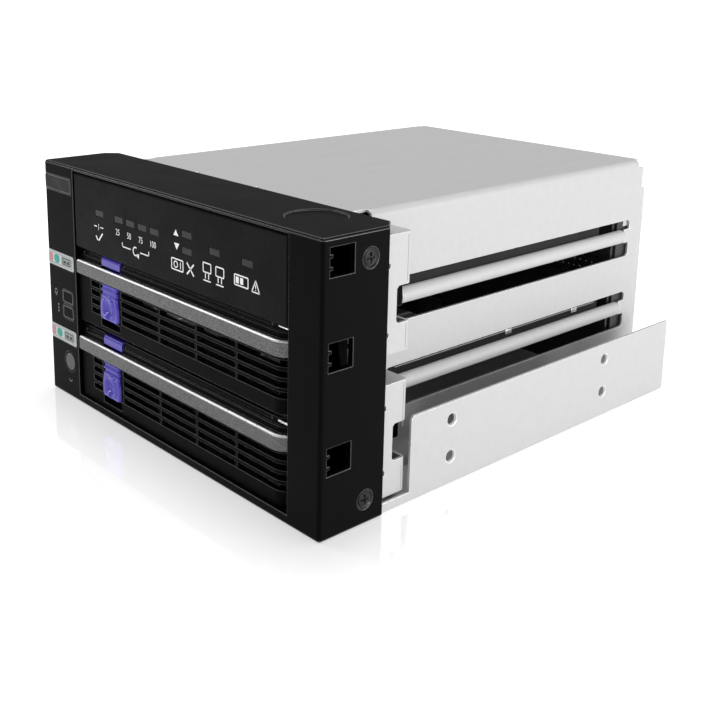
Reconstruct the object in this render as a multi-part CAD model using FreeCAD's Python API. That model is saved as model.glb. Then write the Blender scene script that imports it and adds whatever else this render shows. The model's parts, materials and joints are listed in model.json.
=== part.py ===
import FreeCAD, Part
import math
import os

# Hot swap drive cage: two 3.5 inch drives in a double 5.25 inch bay.
# X runs to the right as seen from the front, Y to the rear, Z up.
# Pieces are modelled with the front face at Y = 0 and moved at the end, so that the
# origin lies under the middle of the cage.

# ---- driving dimensions, millimetres ---------------------------------------------------

# bezel moulding
BEZEL_WIDTH = 147.2
BEZEL_HEIGHT = 84.8
BEZEL_DEPTH = 24.0
TOP_WALL_DEPTH = 28.0         # the top wall reaches further back, over the chassis' front
TOP_WALL_CORNER = 4.0
BEZEL_SIDE_WALL = 2.0
BEZEL_FRONT_WALL = 2.2
BEZEL_TOP_WALL = 1.2
BEZEL_FLOOR_WALL = 1.6
BEZEL_EDGE_ROUND = 1.2
BEZEL_LONG_BEVEL = 0.6
BOTTOM_RAIL = 3.15            # height of the rail under the lower door
COLUMN_WIDTH = 19.6           # control column at the left
RIGHT_FRAME_WIDTH = 13.6
INNER_WALL = 1.4              # walls that close the column and the right frame inwards
CROSS_RAIL = 1.5              # rail between the upper door and the indicator panel
MIDDLE_RAIL = 1.3             # rail between the two doors
RAIL_SETBACK = 3.2            # the rails start this far behind the front face
THUMB_RECESS_R = 9.0
THUMB_RECESS_DEPTH = 0.5
THUMB_RECESS_EDGE = 21.1      # bezel's right side to the recess' middle
THUMB_RECESS_Y = 16.3
TONGUE_REAR = 42.3            # tongues that reach back through the bracket windows
TONGUE_GAP = 0.4

# windows and screws in the bezel's side
SIDE_WINDOW = 8.0
SIDE_WINDOW_DEPTH = 8.7
SIDE_WINDOW_FRONT = 2.45
SIDE_WINDOW_SHARES = (0.270, 0.617, 0.922)   # heights, as shares of the bezel's
WINDOW_TOOTH = 1.1
SCREW_Y = 17.0
SCREW_EDGE = 7.6              # from the bezel's top and bottom to the screws
SCREW_RECESS_R = 3.0
SCREW_RECESS_DEPTH = 0.8
SCREW_HEAD_R = 2.7
SCREW_SHANK_R = 1.4
SCREW_LENGTH = 5.0
SCREW_SIDES = 16
SCREW_BEVEL = 0.4
CROSS_SLOT = 0.7
CROSS_SPAN = 2.8

# doors
DOOR_HEIGHT = 25.85
DOOR_GAP = 0.25               # running gap between a door and the rails
DOOR_SIDE_GAP = 0.6
PIN_SETBACK = 6.6             # hinge axis behind the bezel's front face
TRIM_FACE = 6.5               # from the hinge axis plane to the trim's face
TRIM_THICKNESS = 1.1
DOOR_SKIN = 2.1
DOOR_DEPTH = 8.6              # front of the skin to the rear of the door's rim
DOOR_RIM = 1.4
TRIM_HEIGHT = 4.85
TRIM_TOP_DROP = 4.05          # door top to trim top
TRIM_BEVEL = 0.55
LEDGE_STEP = 1.5
LEDGE_RISE = 1.8
END_ANGLE = 100.0             # how far the skin wraps round the hinge end
TRIM_ANGLE = 88.0
SLAT_PITCH = 3.1
SLOT_HEIGHT = 1.95
SLOT_ROWS = 4
SLOT_TOP_DROP = 1.05          # trim bottom to the first slot
LEFT_SLOT_START = 7.7         # door end to the short slots
LEFT_SLOT_LENGTH = 5.6
GRILLE_RIB = 1.2
GRILLE_RIB_PITCH = 20.0
GRILLE_RIB_COUNT = 3
GRILLE_RIB_END = 18.1         # hinge axis to the first rib
GRILLE_RIB_SINK = 0.5
CHANNEL_WALL = 1.4            # walls beside the latch
CHANNEL_WALL_GAP = 0.3
PIN_R = 1.25
PIN_CLEARANCE = 0.06
KNUCKLE_R = 2.6
HINGE_ARM_HEIGHT = 6.0
COLLAR_R = 2.5
COLLAR_HEIGHT = 0.18

# latches
LATCH_INSET = 20.4            # opening's left side to the latch's middle
LATCH_WIDTH = 11.2
LATCH_NECK = 0.8
LATCH_SIDE_GAP = 0.25
LATCH_BODY_HEIGHT = 12.4
LATCH_TOP_GAP = 0.4           # trim bottom to the latch body
LATCH_PROUD = 1.0             # latch body stands this far in front of the door's skin
LATCH_RIDGE = 2.0             # height of each grip ridge above the finger dish
LATCH_RIDGE_COUNT = 2
LATCH_FOOT_BEVEL = 1.6
DISH_R = 4.0
DISH_DEPTH = 0.8
DISH_SLOPE = 1.2
LATCH_STEM_WIDTH = 8.6
LATCH_STEM = 1.5
LATCH_HEAD_HEIGHT = 3.2
LATCH_HEAD_ROUND = 1.2
LATCH_HEAD_GAP = 0.5
SPRING_THICKNESS = 0.3
SPRING_WIDTH = 4.0
SPRING_FOLDS = 4
SPRING_REACH = 1.0

# indicator panel
PANEL_THICKNESS = 2.0
PANEL_GAP = 0.3
PANEL_SETBACK = 0.2
PANEL_BEVEL = 0.8
LAMP_WIDTH = 5.0
LAMP_HEIGHT = 2.1
LAMP_GAP = 0.05
LAMP_DEPTH = 6.0
# lamp middles, as shares of the opening's width and of the panel's height
LAMP_SHARES = (
    (0.148, 0.555), (0.253, 0.555), (0.313, 0.555), (0.374, 0.555), (0.434, 0.555),
    (0.587, 0.647), (0.587, 0.455), (0.708, 0.555), (0.842, 0.555),
)
PANEL_LUG = 6.0
PANEL_LUG_HEIGHT = 1.6
RIBBON_SOCKET = (24.0, 5.0, 6.0)

# plates, keys and button in the control column
PLATE_WIDTH = 17.8
PLATE_THICKNESS = 0.8
PLATE_EDGE = 0.4              # column's outer edge to the plates
NAME_PLATE_HEIGHT = 5.4
NAME_PLATE_DROP = 7.3         # bezel top to the plate's middle
STATUS_HEIGHT = 5.2
STATUS_MIDDLES = (50.1, 22.7)
STATUS_ROUND = 0.5
KEY_WIDTH = 7.3
KEY_HEIGHT = 4.7
KEY_MIDDLES = (37.4, 31.8)
KEY_EDGE = 13.4               # column's outer edge to the keys' middle
KEY_BEVEL = 0.7
KEY_GAP = 0.15
KEY_TRAVEL = 0.6
KEY_LENGTH = 3.0
KEY_FLANGE = 0.9
PLUNGER = 2.4
BUTTON_R = 3.55
BUTTON_BEVEL = 0.4
BUTTON_Z = 13.6
BOARD = 1.6                   # thickness of every circuit board
KEY_BOARD_Y = 8.0
SWITCH = 4.4
SWITCH_HEIGHT = 1.6

# chassis sheet metal
SHEET = 1.0
CHASSIS_WIDTH = 113.2
CHASSIS_TOP = 84.6
CHASSIS_REAR = 174.5
CHASSIS_BEND = 2.2
FOOT_WIDTH = 8.6
FOOT_SETBACK = 7.0
SEAM = 0.05                   # sheets and mouldings that touch stand this far apart
BEZEL_SEAM = 0.3
REAR_LIP = 10.0
EDGE_NOTCH = 1.4              # small notches in the top's front edge
EDGE_NOTCH_SHARES = (-0.19, 0.09)     # places, as shares of the chassis' width
SLOT_FRONT = 41.0
SLOT_REAR = 168.0
SLOT_SPAN = 13.8
SLOT_MIDDLES = (28.3, 55.95)
SLOT_ROUND = 1.6
BARREL_R = 2.6
BARREL_FRONT = 46.0
BARREL_TAPER = 163.2
BARREL_TAPER_LENGTH = 3.4
BARREL_WALL = 0.8
BARREL_RISE = 0.9             # barrel middle above the slot's middle
CORNER_RELIEF = 5.5
RELIEF_MARGIN = 0.5
RIVET_R = 1.4
RIVET_HEAD_R = 2.4
RIVET_HEAD = 0.2
RIVET_SIDES = 8
RIVET_YS = (48.0, 100.0, 152.0)

# base tray
TRAY_WIDTH = 146.04
TRAY_REAR = 172.3
FLANGE_TOP = 26.9
FLANGE_FRONT = 35.6
FLANGE_STRIP = 3.4
FLANGE_CORNER = 1.8
TRAY_BEND = 1.2
SIDE_HOLE_R = 1.6
SIDE_HOLE_SINK = 0.5
SIDE_HOLE_FRONT = 53.2
SIDE_HOLE_PITCH_Y = 79.25
SIDE_HOLE_LOW = 9.3
SIDE_HOLE_PITCH_Z = 11.84

# brackets between the bezel and the chassis
BRACKET_GAP = 0.2             # bezel's side wall to the bracket's face
BRACKET_FRONT = 12.0
BRACKET_REAR = 35.2
BRACKET_BEND = 1.5
BRACKET_SHARE = 0.405         # bracket height, as a share of the bezel's
BRACKET_LOW_EDGE = 3.9        # bezel bottom to the lower bracket
BRACKET_HIGH_EDGE = 3.3       # bezel top to the upper bracket
WINDOW_FRONT = 29.6
WINDOW_BEVEL = 0.8
# window and notch heights, as shares of the bracket's height
UPPER_WINDOW = (0.246, 0.563)
LOWER_WINDOW = (0.305, 0.635)
UPPER_NOTCHES = (0.165, 0.744)
LOWER_NOTCHES = (0.222, 0.795)
NOTCH_DEPTH = 2.4
NOTCH_HEIGHT = 1.4

# drive bays
DRIVE_WIDTH = 101.6
DRIVE_SIDE_GAP = 0.6
GUIDE_FRONT = 30.0
GUIDE_REAR = 152.0
GUIDE_LEDGE = 1.05
GUIDE_LEDGE_WIDTH = 3.6
GUIDE_FENCE_HEIGHT = 6.8
GUIDE_LEAD_IN = 1.5
GUIDE_CLIP_YS = (100.0, 137.0)
GUIDE_CLIP_LENGTH = 5.0
GUIDE_CLIP_HEIGHT = 1.6

# boards and inner pieces
SHELF_Z = 59.0
SHELF_SHEET = 0.8
SHELF_FRONT = 40.0
SHELF_REAR = 150.0
SHELF_FLANGE = 11.0
STANDOFF_R = 2.5
STANDOFF_HEIGHT = 4.0
STANDOFF_SIDES = 6
CONTROL_BOARD = (84.0, 92.0)
CONTROL_BOARD_FRONT = 48.0
STANDOFF_INSET = 5.0
# chips and sockets on the board: left and front edge, width, length, height
BOARD_PIECES = (
    (12.0, 10.0, 14.0, 14.0, 1.4), (56.0, 50.0, 18.0, 12.0, 1.4),
    (8.0, 82.0, 40.0, 6.0, 6.0), (30.0, 2.0, 24.0, 5.0, 5.0),
)
HEAT_SINK = 28.0
HEAT_SINK_HEIGHT = 8.0
HEAT_SINK_BASE = 2.0
HEAT_SINK_PLACE = (50.0, 14.0)
FIN_COUNT = 7
FIN = 1.2
BACKPLANE_Y = 160.0
BACKPLANE_WIDTH = 109.0
BACKPLANE_LOW = 3.0
BACKPLANE_HIGH = 81.0
VENT_WIDTH = 8.0
VENT_HEIGHT = 11.0
VENT_RISE = 9.0
VENT_PLACES = (-46.0, -35.0, 16.0, 27.0)
SOCKET_WIDTH = 38.0
SOCKET_HEIGHT = 8.0
SOCKET_DEPTH = 7.0
SOCKET_X = -8.0
SOCKET_RISE = 4.0             # drive's underside to the socket's middle
SOCKET_WALL = 1.0
CONTACT_TONGUE = 1.2
TONGUE_SPANS = ((-15.0, -3.0), (-1.0, 15.0))

# rear panel and fan
REAR_PAN_DEPTH = 2.9
REAR_PAN_LOW = 4.0
REAR_PAN_HIGH = 74.0
REAR_PAN_BEVEL = 0.6
REAR_EAR = 9.0
REAR_EAR_HEIGHT = 12.0
FAN_SIZE = 60.0
FAN_DEPTH = 10.0
FAN_X = -22.0
FAN_Z = 39.0
FAN_CORNER = 3.0
FAN_BORE_R = 28.5
FAN_BORE_SIDES = 48
FAN_HOLE_PITCH = 50.0
FAN_SCREW_R = 1.6
FAN_SCREW_SIDES = 8
FAN_PLATE = 1.6               # hub plate and struts
FAN_STRUT = 2.4
STRUT_COUNT = 3
STRUT_TURN = 30.0
HUB_R = 12.0
HUB_BEVEL = 1.0
BLADE_COUNT = 7
BLADE_TIP_R = 27.0
BLADE_ROOT_R = 10.5
BLADE_CHORD = 9.6
BLADE_THICKNESS = 1.0
BLADE_PITCH = 48.0
SPINDLE_R = 1.5
SPINDLE_SETBACK = 2.5
SPINDLE_CLEARANCE = 0.05
GRILL_SLOT = 3.6              # louvres in front of the fan
GRILL_PITCH = 5.8
GRILL_ROWS = 9
POWER_SOCKET = (22.0, 9.0)
POWER_SOCKET_ZS = (62.0, 48.0)
POWER_PIN = 1.8
POWER_PIN_PITCH = 5.08
POWER_PIN_COUNT = 4
DATA_SOCKET = (15.0, 6.0)
DATA_SOCKET_ZS = (31.0, 19.0)
DATA_TONGUE = (10.0, 1.2)
REAR_SOCKET_X = 33.0
REAR_SOCKET_REACH = 0.6       # rear sockets stop this far short of the panel's face
SOCKET_FLOOR = 3.0
PIN_SHORT = 3.0               # contacts end this far inside the panel's face
WINDOW_GAP = 0.3

# ---- sizes worked out from the above ---------------------------------------------------

HALF = BEZEL_WIDTH / 2
OPENING_LEFT = -HALF + COLUMN_WIDTH
OPENING_RIGHT = HALF - RIGHT_FRAME_WIDTH
DOOR_PITCH = DOOR_HEIGHT + 2 * DOOR_GAP + MIDDLE_RAIL
DOOR_BOTTOMS = (BOTTOM_RAIL + DOOR_GAP, BOTTOM_RAIL + DOOR_GAP + DOOR_PITCH)
DOOR_TOPS = tuple(z + DOOR_HEIGHT for z in DOOR_BOTTOMS)
MIDDLE_RAIL_Z = DOOR_TOPS[0] + DOOR_GAP
CROSS_RAIL_Z = DOOR_TOPS[1] + DOOR_GAP
OPENING_TOP = BEZEL_HEIGHT - BEZEL_TOP_WALL
DOOR_LEFT = OPENING_LEFT + DOOR_SIDE_GAP
PIN_X = OPENING_RIGHT - DOOR_SIDE_GAP - TRIM_FACE
SKIN_FACE = TRIM_FACE - TRIM_THICKNESS
SKIN_BACK = SKIN_FACE - DOOR_SKIN
SKIN_Y = PIN_SETBACK - SKIN_FACE
SKIN_BACK_Y = SKIN_Y + DOOR_SKIN
DOOR_BACK_Y = SKIN_Y + DOOR_DEPTH
KEY_X = -HALF + KEY_EDGE
CHASSIS_HALF = CHASSIS_WIDTH / 2
CHASSIS_FRONT = TOP_WALL_DEPTH + BEZEL_SEAM
TRAY_HALF = TRAY_WIDTH / 2
TRAY_FRONT = BEZEL_DEPTH + BEZEL_SEAM
BRACKET_FACE = HALF - BEZEL_SIDE_WALL - BRACKET_GAP
BRACKET_HEIGHT = BRACKET_SHARE * BEZEL_HEIGHT
BRACKET_LOWS = (BRACKET_LOW_EDGE, BEZEL_HEIGHT - BRACKET_HIGH_EDGE - BRACKET_HEIGHT)
REAR_FACE = CHASSIS_REAR + SEAM + REAR_PAN_DEPTH
MIDDLE_Y = REAR_FACE / 2
FAN_REAR = REAR_FACE - SHEET - SEAM
FAN_FRONT = FAN_REAR - FAN_DEPTH
SCREW_ZS = (SCREW_EDGE, BEZEL_HEIGHT - SCREW_EDGE)
LATCH_X = OPENING_LEFT + LATCH_INSET
LATCH_LEFT = LATCH_X - LATCH_WIDTH / 2
LATCH_RIGHT = LATCH_X + LATCH_WIDTH / 2
LATCH_BACK = SKIN_BACK_Y + CHANNEL_WALL_GAP


# ---- helpers -----------------------------------------------------------------------------

def vec(x, y, z):
    return FreeCAD.Vector(x, y, z)


X_AXIS = vec(1, 0, 0)
Y_AXIS = vec(0, 1, 0)
Z_AXIS = vec(0, 0, 1)
CLEAR = 1.0                   # cutting tools reach this far past the faces they cut

nodes = {}


def box(x0, x1, y0, y1, z0, z1):
    return Part.makeBox(x1 - x0, y1 - y0, z1 - z0, vec(x0, y0, z0))


def rod_x(x0, x1, y, z, radius):
    return Part.makeCylinder(radius, x1 - x0, vec(x0, y, z), X_AXIS)


def rod_y(x, y0, y1, z, radius):
    return Part.makeCylinder(radius, y1 - y0, vec(x, y0, z), Y_AXIS)


def rod_z(x, y, z0, z1, radius):
    return Part.makeCylinder(radius, z1 - z0, vec(x, y, z0))


def fuse(shapes):
    first = shapes[0]
    if len(shapes) == 1:
        return first
    return first.multiFuse(shapes[1:]).removeSplitter()


def cut(shape, tools):
    return shape.cut(Part.makeCompound(tools))


def extrude(points, direction):
    face = Part.Face(Part.makePolygon(points + points[:1]))
    return face.extrude(direction)


def faceted(start, axis, length, radius, sides):
    """A small round made as a prism with flat sides, its first side square to the axes."""
    across = vec(axis.y, axis.z, axis.x)
    other = axis.cross(across)
    points = []
    for i in range(sides):
        angle = 2 * math.pi * (i + 0.5) / sides
        points.append(start + across * (radius * math.cos(angle))
                      + other * (radius * math.sin(angle)))
    return extrude(points, axis * length)


def profile(points, x0, x1):
    return extrude([vec(x0, y, z) for y, z in points], vec(x1 - x0, 0, 0))


def front_view(points, y0, y1):
    return extrude([vec(x, y0, z) for x, z in points], vec(0, y1 - y0, 0))


def mirror_x(shape):
    return shape.mirror(vec(0, 0, 0), X_AXIS)


def both(shapes):
    return list(shapes) + [mirror_x(s) for s in shapes]


def rounded(shape, radius, chosen):
    edges = [e for e in shape.Edges if chosen(e)]
    return shape.makeFillet(radius, edges) if edges else shape


def bevelled(shape, size, chosen):
    edges = [e for e in shape.Edges if chosen(e)]
    return shape.makeChamfer(size, edges) if edges else shape


def near(value, target):
    return abs(value - target) < 0.01


def along(edge, axis):
    start, end = edge.Vertexes[0].Point, edge.Vertexes[-1].Point
    return near(abs((end - start).dot(axis)), edge.Length) and edge.Length > 0.02


def block(x0, x1, y0, y1, z0, z1, radius, axis):
    """A box whose four edges along an axis are rounded."""
    return rounded(box(x0, x1, y0, y1, z0, z1), radius, lambda e: along(e, axis))


def bevel_block(x0, x1, y0, y1, z0, z1, size, axis):
    return bevelled(box(x0, x1, y0, y1, z0, z1), size, lambda e: along(e, axis))


# ---- bezel -------------------------------------------------------------------------------

def side_screw_hole(z):
    depth = HALF - BRACKET_FACE + SHEET + 2 * CLEAR
    hole = faceted(vec(HALF + CLEAR - depth, SCREW_Y, z), X_AXIS, depth, SCREW_SHANK_R,
                   SCREW_SIDES)
    recess = faceted(vec(HALF - SCREW_RECESS_DEPTH, SCREW_Y, z), X_AXIS,
                     SCREW_RECESS_DEPTH + CLEAR, SCREW_RECESS_R, SCREW_SIDES)
    return [hole, recess]


def bezel_outer():
    """The moulding's outside, with the top wall's tongue over the chassis' front edge."""
    outer = box(-HALF, HALF, 0, BEZEL_DEPTH, 0, BEZEL_HEIGHT)

    def front_side(e):
        middle = e.CenterOfMass
        return along(e, Z_AXIS) and near(middle.y, 0)

    def long_side(e):
        middle = e.CenterOfMass
        return along(e, Y_AXIS) and near(abs(middle.x), HALF)

    outer = rounded(outer, BEZEL_EDGE_ROUND, front_side)
    outer = bevelled(outer, BEZEL_LONG_BEVEL, long_side)
    edge = HALF - BEZEL_LONG_BEVEL
    reach = [(-edge, BEZEL_DEPTH - CLEAR), (edge, BEZEL_DEPTH - CLEAR),
             (edge, BEZEL_DEPTH), (HALF - TOP_WALL_CORNER, TOP_WALL_DEPTH),
             (TOP_WALL_CORNER - HALF, TOP_WALL_DEPTH), (-edge, BEZEL_DEPTH)]
    tongue = extrude([vec(x, y, BEZEL_HEIGHT - BEZEL_TOP_WALL) for x, y in reach],
                     vec(0, 0, BEZEL_TOP_WALL))
    return fuse([outer, tongue])


def rail(z, height):
    shape = box(OPENING_LEFT, OPENING_RIGHT, RAIL_SETBACK, BEZEL_DEPTH - SEAM, z, z + height)
    pin_hole = rod_z(PIN_X, PIN_SETBACK, z - CLEAR, z + height + CLEAR, PIN_R + PIN_CLEARANCE)
    strike = box(
        LATCH_LEFT - LATCH_SIDE_GAP, LATCH_RIGHT + LATCH_SIDE_GAP,
        0, SKIN_BACK_Y + 2 * LATCH_STEM, z - CLEAR, z + height + CLEAR,
    )
    return cut(shape, [pin_hole, strike])


def side_window(z):
    front, rear = SIDE_WINDOW_FRONT, SIDE_WINDOW_FRONT + SIDE_WINDOW_DEPTH
    half = SIDE_WINDOW / 2
    inside = HALF - 2 * BEZEL_SIDE_WALL
    window = box(inside, HALF + CLEAR, front, rear, z - half, z + half)
    teeth = []
    for side in (-1, 1):
        low = z + (side * 3 - 1) * WINDOW_TOOTH / 2
        teeth.append(box(inside, HALF + CLEAR, front, front + WINDOW_TOOTH,
                         low, low + WINDOW_TOOTH))
    return cut(window, teeth)


def window_tongues():
    """Tongues of the right inner wall that reach back behind the bracket windows."""
    tongues = []
    for low, (start, end) in zip(BRACKET_LOWS, (LOWER_WINDOW, UPPER_WINDOW)):
        tongues.append(box(
            OPENING_RIGHT, OPENING_RIGHT + INNER_WALL, BEZEL_DEPTH - CLEAR, TONGUE_REAR,
            low + start * BRACKET_HEIGHT + TONGUE_GAP, low + end * BRACKET_HEIGHT - TONGUE_GAP,
        ))
    return tongues


def make_bezel():
    column_in = OPENING_LEFT - INNER_WALL
    frame_in = OPENING_RIGHT + INNER_WALL
    side = HALF - BEZEL_SIDE_WALL
    rear = TOP_WALL_DEPTH + CLEAR
    hollows = [
        box(-side, column_in, BEZEL_FRONT_WALL, rear, BEZEL_FLOOR_WALL, OPENING_TOP),
        box(frame_in, side, BEZEL_FRONT_WALL, rear, BEZEL_FLOOR_WALL, OPENING_TOP),
        box(OPENING_LEFT, OPENING_RIGHT, -CLEAR, rear, BOTTOM_RAIL, OPENING_TOP),
    ]
    shape = cut(bezel_outer(), hollows)
    rails = [rail(MIDDLE_RAIL_Z, MIDDLE_RAIL), rail(CROSS_RAIL_Z, CROSS_RAIL)]
    shape = fuse([shape] + rails + window_tongues())
    tools = [side_window(share * BEZEL_HEIGHT) for share in SIDE_WINDOW_SHARES]
    for z in SCREW_ZS:
        tools += both(side_screw_hole(z))
    tools.append(rod_z(PIN_X, PIN_SETBACK, BEZEL_FLOOR_WALL, BOTTOM_RAIL + CLEAR,
                       PIN_R + PIN_CLEARANCE))
    tools.append(rod_z(HALF - THUMB_RECESS_EDGE, THUMB_RECESS_Y,
                       BEZEL_HEIGHT - THUMB_RECESS_DEPTH, BEZEL_HEIGHT + CLEAR, THUMB_RECESS_R))
    left = -HALF + PLATE_EDGE
    for middle, height in plate_places():
        tools.append(box(
            left - SEAM, left + PLATE_WIDTH + SEAM, -CLEAR, PLATE_THICKNESS,
            middle - height / 2 - SEAM, middle + height / 2 + SEAM,
        ))
    for z in KEY_MIDDLES:
        tools.append(key_prism(z, KEY_GAP, -CLEAR, BEZEL_FRONT_WALL + CLEAR))
    tools.append(rod_y(KEY_X, -CLEAR, BEZEL_FRONT_WALL + CLEAR, BUTTON_Z, BUTTON_R + KEY_GAP))
    nodes["front_bezel"] = cut(shape, tools)


def plate_places():
    return [
        (BEZEL_HEIGHT - NAME_PLATE_DROP, NAME_PLATE_HEIGHT),
        (STATUS_MIDDLES[0], STATUS_HEIGHT), (STATUS_MIDDLES[1], STATUS_HEIGHT),
    ]


def key_prism(z, gap, y0, y1):
    half_width = KEY_WIDTH / 2 + gap
    half_height = KEY_HEIGHT / 2 + gap
    return bevel_block(
        KEY_X - half_width, KEY_X + half_width, y0, y1,
        z - half_height, z + half_height, KEY_BEVEL + gap, Y_AXIS,
    )


def plunger(z):
    half = PLUNGER / 2
    rear = KEY_BOARD_Y - SWITCH_HEIGHT - KEY_TRAVEL - SEAM
    return box(KEY_X - half, KEY_X + half, KEY_LENGTH - SEAM, rear, z - half, z + half)


def make_column_pieces():
    left = -HALF + PLATE_EDGE
    right = left + PLATE_WIDTH
    plates = []
    for middle, height in plate_places():
        plates.append(bevel_block(left, right, 2 * SEAM, PLATE_THICKNESS, middle - height / 2,
                                  middle + height / 2, STATUS_ROUND, Y_AXIS))
    nodes["name_plate"] = plates[0]
    nodes["status_windows"] = Part.makeCompound(plates[1:])

    flange_y = BEZEL_FRONT_WALL + SEAM
    for name, z in zip(("key_upper", "key_lower"), KEY_MIDDLES):
        cap = key_prism(z, 0, SEAM, KEY_LENGTH)
        flange = key_prism(z, 2 * KEY_GAP, flange_y, flange_y + KEY_FLANGE)
        nodes[name] = fuse([cap, flange, plunger(z)])
    cap = rod_y(KEY_X, SEAM, KEY_LENGTH, BUTTON_Z, BUTTON_R)
    cap = bevelled(cap, BUTTON_BEVEL, lambda e: near(e.CenterOfMass.y, SEAM) and e.Length > 1)
    flange = box(KEY_X - BUTTON_R - KEY_FLANGE, KEY_X + BUTTON_R + KEY_FLANGE,
                 flange_y, flange_y + KEY_FLANGE,
                 BUTTON_Z - BUTTON_R - KEY_FLANGE, BUTTON_Z + BUTTON_R + KEY_FLANGE)
    nodes["round_button"] = fuse([cap, flange, plunger(BUTTON_Z)])

    board_left = -HALF + BEZEL_SIDE_WALL + SEAM
    board_right = OPENING_LEFT - INNER_WALL - SEAM
    board = box(board_left, board_right, KEY_BOARD_Y, KEY_BOARD_Y + BOARD,
                BEZEL_FLOOR_WALL + SEAM, OPENING_TOP - SEAM)
    half = SWITCH / 2
    switches = []
    for z in KEY_MIDDLES + (BUTTON_Z,):
        switches.append(box(KEY_X - half, KEY_X + half, KEY_BOARD_Y - SWITCH_HEIGHT,
                            KEY_BOARD_Y, z - half, z + half))
    nodes["key_board"] = fuse([board] + switches)


# ---- indicator panel ---------------------------------------------------------------------

def make_panel():
    left = OPENING_LEFT + PANEL_GAP
    right = OPENING_RIGHT - PANEL_GAP
    low = CROSS_RAIL_Z
    high = OPENING_TOP - PANEL_GAP
    back = PANEL_SETBACK + PANEL_THICKNESS
    plate = box(left, right, PANEL_SETBACK, back, low, high)
    plate = bevelled(plate, PANEL_BEVEL, lambda e: near(e.CenterOfMass.y, PANEL_SETBACK))
    half_w, half_h = LAMP_WIDTH / 2, LAMP_HEIGHT / 2
    lamp_front = PANEL_SETBACK + 2 * SEAM
    lamp_back = lamp_front + LAMP_DEPTH
    lamps = []
    holes = []
    for across, up in LAMP_SHARES:
        x = OPENING_LEFT + across * (OPENING_RIGHT - OPENING_LEFT)
        z = low + up * (high - low)
        lamps.append(box(x - half_w, x + half_w, lamp_front, lamp_back, z - half_h, z + half_h))
        holes.append(box(
            x - half_w - LAMP_GAP, x + half_w + LAMP_GAP, -CLEAR, lamp_back + CLEAR,
            z - half_h - LAMP_GAP, z + half_h + LAMP_GAP,
        ))
    lugs = []
    rail_top = low + CROSS_RAIL + SEAM
    for x in (left + PANEL_LUG, (left + right) / 2, right - PANEL_LUG):
        x0, x1 = x - PANEL_LUG / 2, x + PANEL_LUG / 2
        lugs.append(box(x0, x1, back - SEAM, lamp_back, high - PANEL_BEVEL - PANEL_LUG_HEIGHT,
                        high - PANEL_BEVEL))
        lugs.append(box(x0, x1, back - SEAM, lamp_back, rail_top, rail_top + PANEL_LUG_HEIGHT))
    nodes["indicator_panel"] = cut(fuse([plate] + lugs), holes)
    nodes["light_pipes"] = Part.makeCompound(lamps)
    board_y = lamp_back + SEAM
    board = box(left + PANEL_BEVEL, right - PANEL_BEVEL, board_y, board_y + BOARD,
                rail_top, high - PANEL_BEVEL)
    width, depth, height = RIBBON_SOCKET
    middle = (low + high) / 2
    socket = box(-width / 2, width / 2, board_y + BOARD, board_y + BOARD + depth,
                 middle - height / 2, middle + height / 2)
    nodes["indicator_board"] = fuse([board, socket])


# ---- doors -------------------------------------------------------------------------------

def wrapped(section, x0, angle):
    """Extrudes a section along the door and turns it round the hinge end.

    The section is a list of (distance in front of the hinge axis, height).
    """
    flat = extrude([vec(x0, PIN_SETBACK - d, z) for d, z in section], vec(PIN_X - x0, 0, 0))
    face = Part.Face(Part.makePolygon(
        [vec(PIN_X, PIN_SETBACK - d, z) for d, z in section + section[:1]]
    ))
    turned = face.revolve(vec(PIN_X, PIN_SETBACK, 0), Z_AXIS, angle)
    return fuse([flat, turned])


def door_section(bottom):
    top = bottom + DOOR_HEIGHT
    trim_top = top - TRIM_TOP_DROP
    inner_step = trim_top - LEDGE_STEP
    return [
        (SKIN_BACK, bottom), (SKIN_FACE, bottom),
        (SKIN_FACE, trim_top), (SKIN_FACE - LEDGE_STEP / 2, trim_top),
        (SKIN_FACE - LEDGE_STEP / 2, trim_top + LEDGE_RISE),
        (SKIN_FACE - LEDGE_STEP, trim_top + LEDGE_RISE),
        (SKIN_FACE - LEDGE_STEP, top), (SKIN_BACK - LEDGE_STEP, top),
        (SKIN_BACK - LEDGE_STEP, inner_step), (SKIN_BACK, inner_step),
    ]


def slot_tools(bottom):
    """Grille slots, cut right round the hinge end, and the short slots at the left."""
    first = bottom + DOOR_HEIGHT - TRIM_TOP_DROP - TRIM_HEIGHT - SLOT_TOP_DROP
    rows = [first - SLOT_HEIGHT - i * SLAT_PITCH for i in range(SLOT_ROWS)]
    wrap_end = PIN_SETBACK - 2 * CHANNEL_WALL_GAP
    left = DOOR_LEFT + LEFT_SLOT_START
    tools = []
    for z in rows:
        high = z + SLOT_HEIGHT
        tools.append(box(LATCH_RIGHT + CHANNEL_WALL, PIN_X + TRIM_FACE + CLEAR,
                         -CLEAR, wrap_end, z, high))
        tools.append(box(left, left + LEFT_SLOT_LENGTH, -CLEAR, wrap_end, z, high))
    return tools, rows


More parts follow.
